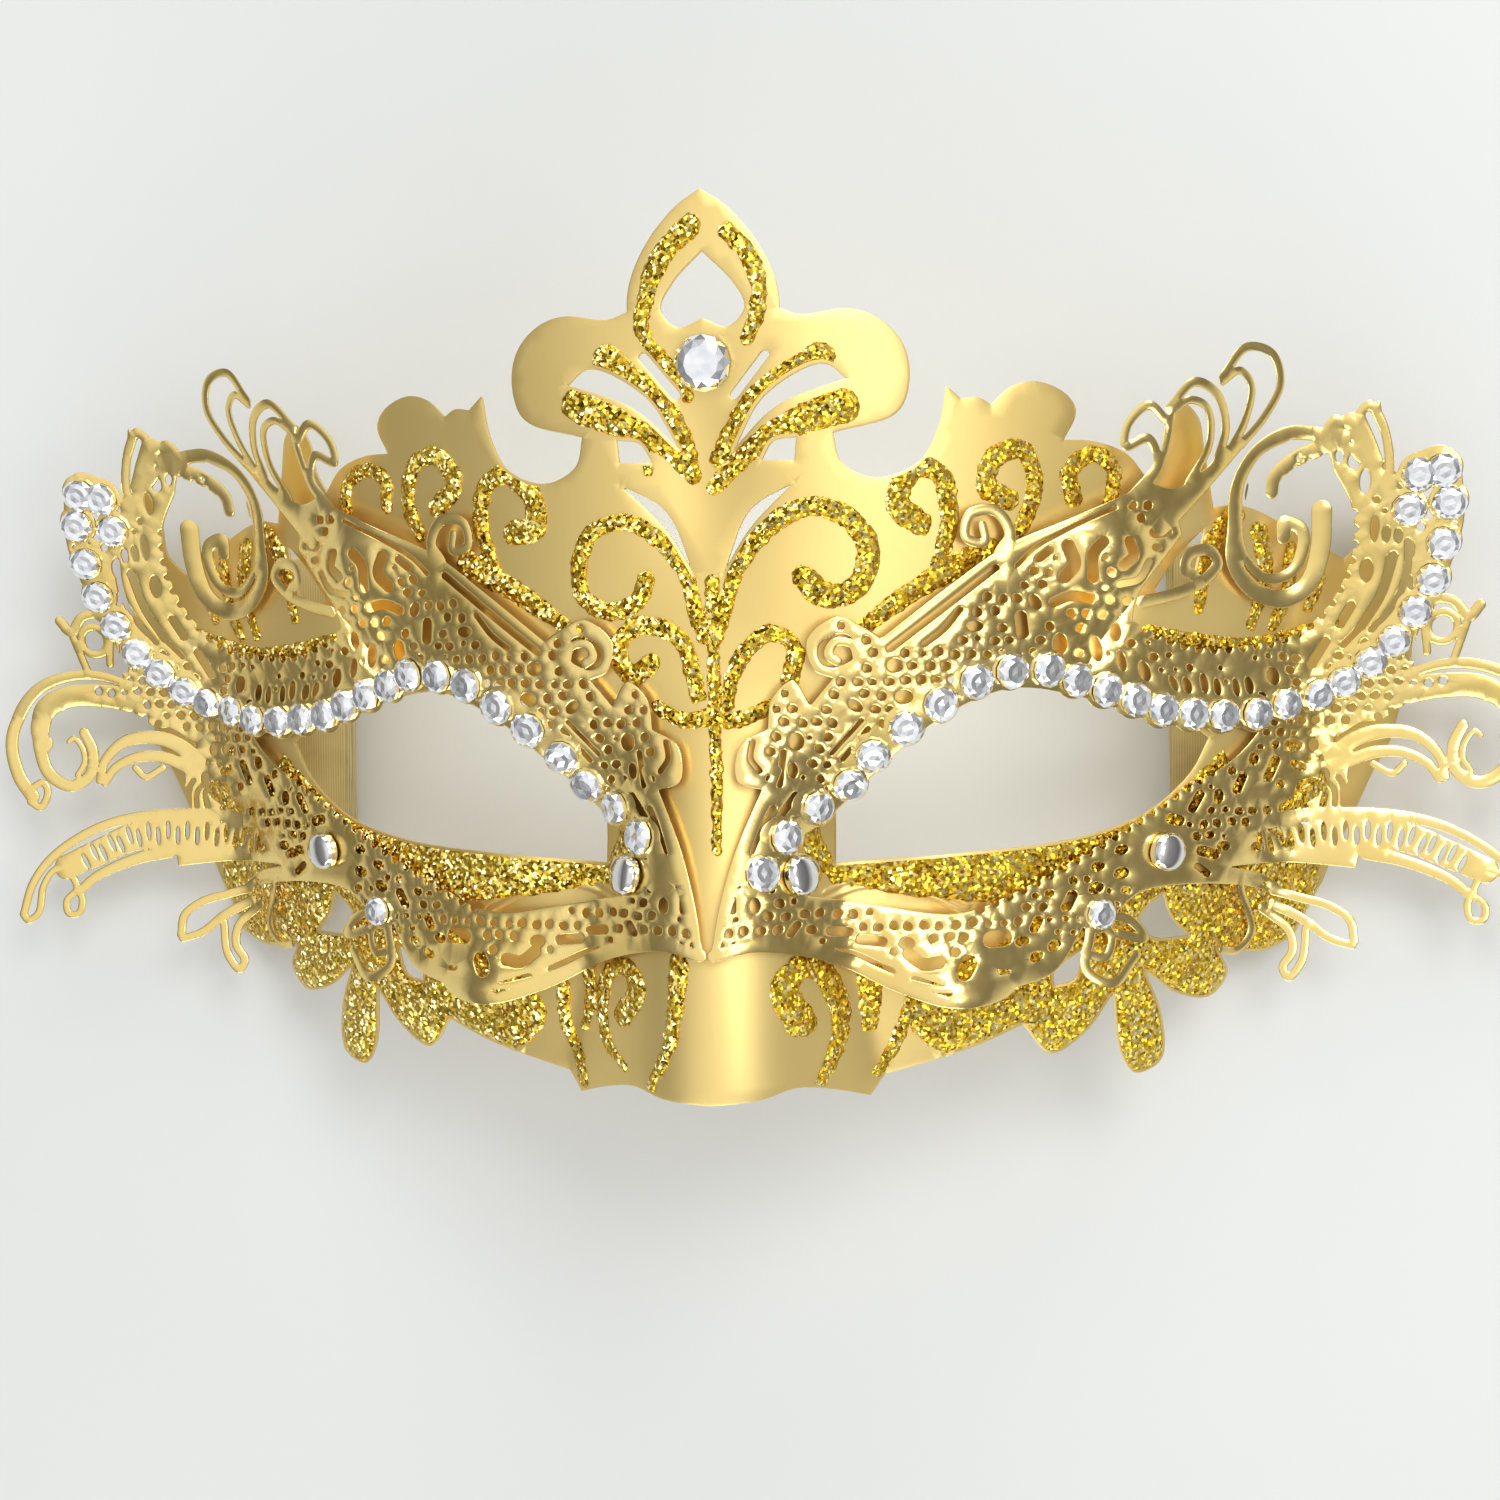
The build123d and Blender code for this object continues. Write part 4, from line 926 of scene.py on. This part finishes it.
# ---------------------------------------------------------------- sheet pieces
def shell_outline(low, high, rivet_hole):
    """The shell's outline with all its openings."""
    drawing = Drawing(low, high, SHELL_GRID)
    drawing.region(both_sides(SHELL_EDGE))
    drawing.region(both_sides(HEART_EDGE), cut=True)
    for runs in SHELL_HOLES.values():
        drawing.region(closed_points(runs), cut=True)
        drawing.region(closed_points(mirrored_runs(runs)), cut=True)
    for width, points in SHELL_SLOTS:
        drawing.line(points, width / 2, cut=True)
        drawing.line(mirrored(points), width / 2, cut=True)
    for x, y in RIVETS.values():
        drawing.disc((x, y), rivet_hole, cut=True)
        drawing.disc((-x, y), rivet_hole, cut=True)
    return drawing


def shell_ridge_lines(low, high):
    """The pressed double lines of the cheeks, and extra mesh points along them."""
    ridges = Drawing(low, high, SHELL_GRID)
    extra = []
    for points in SHELL_RIDGES:
        for line in (points, mirrored(points)):
            path = smooth_points(line, 14)
            for shift in (-0.55, 0.55):
                ridges.line([(x, y + shift) for x, y in line], 0.05)
            for shift in np.arange(-1.2, 1.21, 0.2):
                extra.append(path + np.array([0, shift]))
    return ridges, np.vstack(extra)


def build_shell(material):
    """The pressed openwork shell, cut flat where its side edges meet the table."""
    low, high = (-94, -49), (94, 66)
    drawing = shell_outline(low, high, RIVET_HOLE_RADIUS)
    grid_x, grid_y = np.meshgrid(drawing.xs, drawing.ys)
    above_table = (shell_height(grid_x, grid_y) + 0.55 * SHELL_THICKNESS) / 0.8
    drawing.field = np.maximum(drawing.field, -above_table)
    ridges, extra = shell_ridge_lines(low, high)
    flat, faces = drawing.mesh(SHELL_EDGE_ROUNDING, 1.5, extra)
    relief = 0.28 * np.exp(-(np.maximum(0, ridges.sample(flat)) / 0.28) ** 2)
    base = shell_height(flat[:, 0], flat[:, 1]) + 0.5 * relief
    round_over = smooth_step(-drawing.sample(flat), 0.0, SHELL_EDGE_ROUNDING)
    low_z = np.maximum(base + 0.08 * (1 - round_over), 0.0)
    high_z = base + SHELL_THICKNESS + 0.5 * relief - 0.1 * (1 - round_over)
    high_z = np.maximum(high_z, low_z + 0.02)
    points, groups = sheet_solid(flat, faces, low_z, high_z)
    return place_piece(make_object("shell", points, groups), material, "gold_shell", "mask_shell")


def spaced(points, spacing):
    """Evenly spaced places along a smooth line, each with the direction of the line in degrees."""
    path = smooth_points(points, 12)
    lengths = np.concatenate([[0], np.cumsum(np.linalg.norm(np.diff(path, axis=0), axis=1))])
    count = max(2, round(lengths[-1] / spacing))
    places = []
    for along in (np.arange(count) + 0.5) * lengths[-1] / count:
        here = [np.interp(along, lengths, path[:, i]) for i in (0, 1)]
        ahead = [np.interp(along + 0.4, lengths, path[:, i]) for i in (0, 1)]
        back = [np.interp(along - 0.4, lengths, path[:, i]) for i in (0, 1)]
        places.append((here, math.degrees(math.atan2(ahead[1] - back[1], ahead[0] - back[0]))))
    return places


def fill_with_lace(drawing, spacing, web):
    """Small holes wherever the plate is still solid, with a web of metal left between them."""
    random = np.random.default_rng(21)
    for row, y in enumerate(np.arange(-34, 38, spacing * 0.87)):
        for x in np.arange(0.5 + (row % 2) * spacing / 2, 92, spacing):
            spot = np.array([x, y]) + random.uniform(-0.2, 0.2, 2)
            if any(abs(spot[0] - area[0]) < area[2] and abs(spot[1] - area[1]) < area[3] for area in PLAIN):
                continue
            room = -float(drawing.sample(spot[None])[0]) - web
            if room > LACE_HOLE_RADII[0]:
                size = min(room, LACE_HOLE_RADII[1])
                drawing.ellipse(spot, size, 0.86 * size, random.uniform(0, 180), cut=True)


def lace_plate():
    """The plate round the eye with its bands, still without holes."""
    drawing = Drawing((-1, -36), (108, 49), FILIGREE_GRID)
    cap = RIVET_CAP_DIAMETER / 2 + 0.3
    drawing.region(closed_points(RING_EDGE))
    drawing.disc(RIVETS["cheek"], cap)
    drawing.region(closed_points(RING_EYE), cut=True)
    drawing.disc(RIVETS["nose"], cap)
    for start, end, points in BANDS.values():
        drawing.line(points, start, end)
    return drawing


def cut_lace(drawing):
    """Slots and larger holes first, then rows of small ones, then a fill of the smallest."""
    for width, points in SLOTS:
        drawing.line(points, width / 2, cut=True)
    for x, y, half_x, half_y, tilt in LACE:
        drawing.ellipse((x, y), LACE_OPENING * half_x, LACE_OPENING * half_y, tilt, cut=True)
    for points in NOTCHED_EDGES:
        for place, tilt in spaced(points, LACE_SPACING):
            drawing.ellipse(place, 0.5, 0.75, tilt, cut=True)
    for k, (place, tilt) in enumerate(spaced(LADDER, LADDER_SPACING)):
        stagger = 0.45 if k % 2 else -0.3
        drawing.ellipse((place[0], place[1] + stagger), 0.33, 1.35, tilt, cut=True)
    fill_with_lace(drawing, LACE_SPACING, LACE_WEB)


def lay_strands(drawing):
    """Stone tabs, strands and rivet pads, solid over the lace."""
    spots = [spot for group in STONES.values() for spot in group]
    for spot in spots:
        drawing.disc(spot, STONE_TAB_RADIUS)
    flower_tab = FLOWER_STONE_DIAMETER / 2 + 0.5
    drawing.disc(FLOWER_STONE, flower_tab)
    for start, end, points in STRANDS.values():
        drawing.line(points, start, end)
    x, y, radius, half = FINIAL_RING
    angles = np.linspace(0, 2 * math.pi, 13)
    drawing.line([(x + radius * math.cos(a), y + radius * math.sin(a)) for a in angles], half)
    width, points = SPIRAL_SLIT
    drawing.line(points, width / 2, cut=True)
    for spot in RIVETS.values():
        drawing.disc(spot, RIVET_PAD_RADIUS)
        drawing.disc(spot, RIVET_HOLE_RADIUS, cut=True)
    for spot in spots:
        drawing.disc(spot, STONE_SEAT_RADIUS)


def build_filigree(material):
    """The two etched lace panels, mirror images."""
    drawing = lace_plate()
    cut_lace(drawing)
    lay_strands(drawing)
    flat, faces = drawing.mesh(FILIGREE_EDGE_ROUNDING, 1.4)
    base = filigree_height(flat[:, 0], flat[:, 1])
    round_over = smooth_step(-drawing.sample(flat), 0.0, FILIGREE_EDGE_ROUNDING)
    roll = 0.05 * grain(flat[:, 0], flat[:, 1], 9.0, 3)
    low_z = base + roll + 0.05 * (1 - round_over)
    high_z = base + roll + FILIGREE_THICKNESS - 0.08 * (1 - round_over)
    points, groups = sheet_solid(flat, faces, low_z, high_z)
    for side, name in SIDES:
        obj = make_object(f"lace_panel_{name}", points, groups, side)
        place_piece(obj, material, "gold_filigree", f"filigree_{name}")


GLITTER_BOX = ((-3, -48), (92, 62))
GLITTER_BEAD = 1.1           # how far in from its edge a bead reaches full height


def glitter_piece(name, strokes, areas, material, side, node, keep_out):
    """A raised, lumpy line of glitter glue that follows the shell."""
    drawing = Drawing(*GLITTER_BOX, SHELL_GRID)
    for start, end, points in strokes:
        drawing.line(points, start, end)
    for runs in areas:
        drawing.region(closed_points(runs))
    grid_x, grid_y = np.meshgrid(drawing.xs, drawing.ys)
    ragged = 0.16 * grain(grid_x, grid_y, 0.45, 11) + 0.12 * grain(grid_x, grid_y, 1.1, 12)
    drawing.field = np.maximum(drawing.field + ragged, -keep_out.field)
    flat, faces = drawing.mesh(0.2, 0.5)
    depth = -drawing.sample(flat)
    lumps = 0.5 + 0.5 * grain(flat[:, 0], flat[:, 1], 0.5, 13)
    bead = np.sqrt(np.clip(depth, 0, GLITTER_BEAD) / GLITTER_BEAD)
    base = shell_height(flat[:, 0], flat[:, 1]) + SHELL_THICKNESS + 0.03
    high_z = base + 0.04 + bead * (0.34 + 0.26 * lumps)
    points, groups = sheet_solid(flat, faces, base, high_z)
    obj = make_object(name, points, groups, side)
    return place_piece(obj, material, "gold_glitter", node)


def shell_gaps():
    """Negative where the shell has no material under it, with a margin at every edge."""
    gaps = shell_outline(*GLITTER_BOX, RIVET_HOLE_RADIUS + 0.15)
    gaps.field = -(gaps.field + 0.35)
    return gaps


def build_glitter(material):
    gaps = shell_gaps()
    for (side, name), sets in zip(SIDES, (GLITTER_RIGHT, GLITTER_LEFT)):
        for group, strokes in sets.items():
            areas = COATED if group == "cheek" else []
            lines = strokes + [STEM] if (group == "brow" and side == 1) else strokes
            glitter_piece(f"{group}_glitter_line_{name}", lines, areas, material, side,
                          f"{group}_glitter_{name}", gaps)


# ---------------------------------------------------------------- stones and rivets
def seat(height, lift, place):
    """A matrix at a place on the surface, with its z axis along the surface normal."""
    x, y = place
    normal = surface_normal(height, x, y)
    origin = Vector((x, y, float(height(x, y)))) + normal * (lift * normal.z)
    return Matrix.Translation(origin) @ normal.to_track_quat("Z", "Y").to_matrix().to_4x4()


def stone_mesh(mesh, frame_at, diameter, turn):
    """A round foiled stone: girdle, ring of crown facets, and a table with the star below it."""
    radius = diameter / 2
    sides = 12
    girdle, crown = 0.12 * diameter, 0.30 * diameter
    spin = Matrix.Rotation(turn, 4, "Z")
    step = 2 * math.pi / sides

    def place(r, a, z):
        return frame_at @ spin @ Vector((r * math.cos(a), r * math.sin(a), z))

    foot = [mesh.verts.new(place(0.96 * radius, k * step, 0)) for k in range(sides)]
    belt = [mesh.verts.new(place(radius, k * step, girdle)) for k in range(sides)]
    mid_z = girdle + 0.62 * (crown - girdle)
    mid = [mesh.verts.new(place(0.84 * radius, (k + 0.5) * step, mid_z)) for k in range(sides)]
    table = [mesh.verts.new(place(0.60 * radius, k * step, crown)) for k in range(sides)]
    star_z = crown - 0.015 * diameter
    star = [mesh.verts.new(place(0.36 * radius, (k + 0.5) * step, star_z)) for k in range(0, sides, 2)]
    tip = mesh.verts.new(place(0, 0, crown + 0.005 * diameter))
    mesh.faces.new(foot[::-1])
    for k in range(sides):
        n = (k + 1) % sides
        mesh.faces.new((foot[k], foot[n], belt[n], belt[k]))
        mesh.faces.new((belt[k], belt[n], mid[k]))
        mesh.faces.new((belt[k], mid[k], table[k], mid[k - 1]))
        mesh.faces.new((mid[k], table[n], table[k]))
    for k in range(0, sides, 2):
        m, n = (k + 1) % sides, (k + 2) % sides
        here, after = star[k // 2], star[(k // 2 + 1) % len(star)]
        mesh.faces.new((table[k], table[m], here))
        mesh.faces.new((table[m], table[n], here))
        mesh.faces.new((here, table[n], after))
        mesh.faces.new((here, after, tip))


def points_and_faces(mesh):
    """What an edit mesh holds, with its faces turned outward; the edit mesh is used up."""
    bmesh.ops.recalc_face_normals(mesh, faces=mesh.faces)
    mesh.verts.index_update()
    points = [tuple(v.co) for v in mesh.verts]
    faces = [[v.index for v in face.verts] for face in mesh.faces]
    mesh.free()
    return points, faces


def build_stones(material):
    """The crystals, a little unevenly set, each group in its own piece."""
    lift = FILIGREE_THICKNESS + STONE_GLUE
    random = np.random.default_rng(5)
    groups = []
    for side, name in SIDES:
        for group, spots in STONES.items():
            kept = spots[:-1] if (group == "nose" and side < 0) else spots
            places = [seat(filigree_height, lift, spot) for spot in kept]
            piece, node = f"{group}_crystals_{name}", f"{group}_stones_{name}"
            groups.append((piece, node, places, STONE_DIAMETER, side))
        flower = [seat(filigree_height, lift, FLOWER_STONE)]
        groups.append((f"flower_crystal_{name}", f"flower_stone_{name}", flower, FLOWER_STONE_DIAMETER, side))
    gem = [seat(shell_height, SHELL_THICKNESS + 0.5, CROWN_GEM)]
    groups.append(("crown_crystal", "crown_gem", gem, GEM_DIAMETER, 1))
    for piece, node, places, diameter, side in groups:
        mesh = bmesh.new()
        for place in places:
            wobble = Matrix.Rotation(random.uniform(-STONE_WOBBLE, STONE_WOBBLE), 4, "X")
            wobble = wobble @ Matrix.Rotation(random.uniform(-STONE_WOBBLE, STONE_WOBBLE), 4, "Y")
            stone_mesh(mesh, place @ wobble, diameter, random.uniform(0, 0.5))
        bmesh.ops.triangulate(mesh, faces=mesh.faces)
        points, faces = points_and_faces(mesh)
        obj = make_object(piece, points, [faces], side, smooth=False)
        place_piece(obj, material, "crystal", node)


def turned(mesh, frame_at, profile, sides=40):
    """A body turned from a profile of (radius, height) pairs; both ends lie on the axis."""
    rings = []
    for radius, height in profile:
        if radius == 0:
            rings.append([mesh.verts.new(frame_at @ Vector((0, 0, height)))])
        else:
            ring = [(radius * math.cos(a), radius * math.sin(a), height)
                    for a in (2 * math.pi * k / sides for k in range(sides))]
            rings.append([mesh.verts.new(frame_at @ Vector(corner)) for corner in ring])
    for low, high in zip(rings[:-1], rings[1:]):
        for k in range(sides):
            n = (k + 1) % sides
            corners = [low[k % len(low)], low[n % len(low)], high[n % len(high)], high[k % len(high)]]
            face = list(dict.fromkeys(corners))
            if len(face) > 2:
                mesh.faces.new(face)


def build_rivets(front_material, back_material):
    """Domed two-part rivets: a cap and post in front, a flared washer inside."""
    radius = RIVET_CAP_DIAMETER / 2
    for name, spot in RIVETS.items():
        frame_at = seat(filigree_height, FILIGREE_THICKNESS + 0.3, spot)
        normal_z = (frame_at.to_3x3() @ Vector((0, 0, 1))).z
        depth = (frame_at.translation.z - float(shell_height(*spot))) * normal_z + 1.25
        cap = [(0, -depth), (0.8, -depth), (0.8, 0), (radius - 0.15, 0), (radius, 0.12), (radius, 0.85),
               (radius - 0.06, 1.05), (radius - 0.22, 1.22)]
        rise = [((radius - 0.22) * math.cos(a), 1.22 + 0.62 * math.sin(a)) for a in np.linspace(0.18, 1.4, 8)]
        cap += rise + [(0, 1.85)]
        washer = [(0.86, -depth + 0.9), (0.86, -depth), (2.3, -depth), (2.5, -depth + 0.2),
                  (2.5, -depth + 0.45), (1.6, -depth + 0.75), (0.86, -depth + 0.9)]
        parts = (
            ("rivet", cap, front_material, "rivet_chrome"),
            ("rivet_back", washer, back_material, "rivet_steel"),
        )
        for part, profile, material, slot_name in parts:
            mesh = bmesh.new()
            turned(mesh, frame_at, profile)
            bmesh.ops.remove_doubles(mesh, verts=mesh.verts, dist=1e-4)
            points, faces = points_and_faces(mesh)
            for side, side_name in SIDES:
                obj = make_object(f"{name}_{part}_turned_{side_name}", points, [faces], side)
                place_piece(obj, material, slot_name, f"{name}_{part}_{side_name}")


# ---------------------------------------------------------------- ribbon
RIBBON_WIDTH = 10.0
RIBBON_THICKNESS = 0.35      # with the air between its folds
RIBBON_CLOTH = 0.22
RIBBON_PITCH = 0.8
RIBBON_RUNS = 9
RIBBON_RUN_LENGTH = 44.0
RIBBON_EDGE_X = 57.0
RIBBON_REST = 0.4
RIBBON_CENTRE_Y = 2.0


def ribbon_path():
    """The folded ribbon's line along Y and Z, in even steps."""
    half = RIBBON_RUN_LENGTH / 2
    line = []
    for run in range(RIBBON_RUNS):
        level = RIBBON_REST + RIBBON_THICKNESS / 2 + run * RIBBON_PITCH
        way = 1 if run % 2 == 0 else -1
        steps = np.linspace(-half, half, 45)
        line += [(way * s, level + 0.12 * math.sin(0.21 * s + run)) for s in steps]
        if run < RIBBON_RUNS - 1:
            bend = RIBBON_PITCH / 2
            turn = np.linspace(-math.pi / 2, math.pi / 2, 9)[1:-1]
            line += [(way * (half + bend * math.cos(a)), level + bend + bend * math.sin(a)) for a in turn]
    return np.array(line)


def ribbon_strip(line):
    """The strip's points and faces, with a thickness, along its line."""
    tangent = np.gradient(line, axis=0)
    tangent /= np.linalg.norm(tangent, axis=1)[:, None]
    normal = np.stack([-tangent[:, 1], tangent[:, 0]], 1) * (RIBBON_CLOTH / 2)
    across = np.linspace(0, RIBBON_WIDTH, 6)
    count, width = len(line), len(across)
    points = []
    for face_side in (1, -1):
        for k in range(count):
            y, z = line[k] + face_side * normal[k]
            sway = 0.5 * math.sin(0.03 * k) + 0.3 * math.sin(0.11 * k)
            for a in across:
                points.append((RIBBON_EDGE_X + a + sway * 0.6, RIBBON_CENTRE_Y + y, z))

    def index(layer, k, i):
        return layer * count * width + k * width + i

    faces = []
    for k in range(count - 1):
        for i in range(width - 1):
            faces.append((index(0, k, i), index(0, k, i + 1), index(0, k + 1, i + 1), index(0, k + 1, i)))
            faces.append((index(1, k, i), index(1, k + 1, i), index(1, k + 1, i + 1), index(1, k, i + 1)))
        for i in (0, width - 1):
            faces.append((index(0, k, i), index(0, k + 1, i), index(1, k + 1, i), index(1, k, i)))
    for k in (0, count - 1):
        for i in range(width - 1):
            faces.append((index(0, k, i), index(0, k, i + 1), index(1, k, i + 1), index(1, k, i)))
    return points, faces


def build_ribbons(material, glue_material):
    """Each tie is one long strip, folded back and forth in a loose stack."""
    line = ribbon_path()
    points, faces = ribbon_strip(line)
    for side, name in SIDES:
        obj = make_object(f"ribbon_tie_{name}", points, [faces], side)
        mesh = bmesh.new()
        mesh.from_mesh(obj.data)
        bmesh.ops.recalc_face_normals(mesh, faces=mesh.faces)
        mesh.to_mesh(obj.data)
        mesh.free()
        place_piece(obj, material, "gold_ribbon", f"ribbon_{name}")
        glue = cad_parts[f"ribbon_glue_{name}"]
        glue.data.materials.clear()
        glue.data.materials.append(glue_material)


# ---------------------------------------------------------------- camera and light
CAMERA_PLACE = (36.70, 0.0, 309.93)          # mm, about the design origin
CAMERA_TURN = (6.888, -0.538, -0.319)        # degrees about Y, then X, then Z
CAMERA_VIEW = 37.19                          # degrees across the square picture


def make_camera():
    """Almost straight above the mask, a little to its right."""
    data = bpy.data.cameras.new("camera")
    data.sensor_width = 36.0
    data.lens = 18.0 / math.tan(math.radians(CAMERA_VIEW / 2))
    data.clip_start, data.clip_end = 0.01, 20.0
    camera = bpy.data.objects.new("camera", data)
    yaw, pitch, roll = (math.radians(a) for a in CAMERA_TURN)
    turn = Matrix.Rotation(yaw, 4, "Y") @ Matrix.Rotation(pitch, 4, "X") @ Matrix.Rotation(roll, 4, "Z")
    x, y, z = CAMERA_PLACE
    camera.matrix_world = Matrix.Translation((x * MM, (y - ORIGIN_Y) * MM, z * MM)) @ turn
    bpy.context.scene.collection.objects.link(camera)
    bpy.context.scene.camera = camera


FLOOR_HALF_WIDTH = 4.0                       # metres
FLOOR_GAP = 0.0002                           # metres below the part


def make_floor():
    """A plain pale floor just under the mask."""
    material, tree, shader = new_material("pale_floor")
    place = object_place(tree)
    clouds = noise_node(tree, place, 160, 2.0)
    colour_from(tree, shader, clouds.outputs["Fac"], [(0.3, (0.62, 0.635, 0.63)), (0.7, (0.65, 0.665, 0.66))])
    shader.inputs["Roughness"].default_value = 0.6
    mesh = bpy.data.meshes.new("floor")
    half = FLOOR_HALF_WIDTH
    corners = [(-half, -half, 0), (half, -half, 0), (half, half, 0), (-half, half, 0)]
    mesh.from_pydata(corners, [], [(0, 1, 2, 3)])
    floor = bpy.data.objects.new("floor", mesh)
    floor.location.z = -FLOOR_GAP
    floor.data.materials.append(material)
    bpy.context.scene.collection.objects.link(floor)


def soft_light(name, place, target, size, power, colour):
    data = bpy.data.lights.new(name, "AREA")
    data.shape = "RECTANGLE"
    data.size, data.size_y = size
    data.energy = power
    data.color = colour
    light = bpy.data.objects.new(name, data)
    light.location = place
    light.rotation_euler = (Vector(target) - Vector(place)).to_track_quat("-Z", "Y").to_euler()
    light.visible_camera = False
    bpy.context.scene.collection.objects.link(light)


def make_lights():
    """A soft key and fill lights in metres, with a pale sky that is darker near the horizon."""
    soft_light("key", (0.45, 0.55, 0.95), (0, 0, 0), (0.6, 0.5), 5.5, (1.0, 0.99, 0.97))
    soft_light("side", (0.55, -0.12, 0.75), (0.02, 0, 0.04), (0.32, 0.32), 1.0, (1.0, 1.0, 0.98))
    soft_light("low_front", (0.0, -0.95, 0.40), (0, 0, 0.02), (1.2, 0.35), 5.0, (1.0, 1.0, 0.98))
    soft_light("low_back", (0.0, 0.95, 0.40), (0, 0, 0.02), (1.2, 0.35), 4.5, (1.0, 1.0, 0.98))
    soft_light("bounce", (0.0, 0.004, 0.03), (0, 0.004, 0.0), (0.11, 0.012), 0.014, (0.97, 1.0, 0.98))
    world = bpy.data.worlds.new("studio")
    world.use_nodes = True
    tree = world.node_tree
    background = tree.nodes["Background"]
    up = tree.nodes.new("ShaderNodeSeparateXYZ")
    tree.links.new(tree.nodes.new("ShaderNodeTexCoord").outputs["Generated"], up.inputs["Vector"])
    ramp = ramp_node(tree, up.outputs["Z"], [
        (0.0, (0.50, 0.50, 0.50)),
        (0.12, (0.16, 0.155, 0.15)),
        (0.5, (0.32, 0.32, 0.32)),
        (0.85, (0.95, 0.95, 0.95)),
    ])
    tree.links.new(ramp.outputs["Color"], background.inputs["Color"])
    background.inputs["Strength"].default_value = 1.0
    bpy.context.scene.world = world
    bpy.context.scene.view_settings.view_transform = "Standard"


make_camera()
make_floor()
make_lights()
build_shell(satin_gold())
build_filigree(polished_gold())
build_glitter(glitter_flakes())
build_stones(foil_crystal())
build_rivets(chrome(), dull_steel())
build_ribbons(satin_ribbon(), dried_glue())
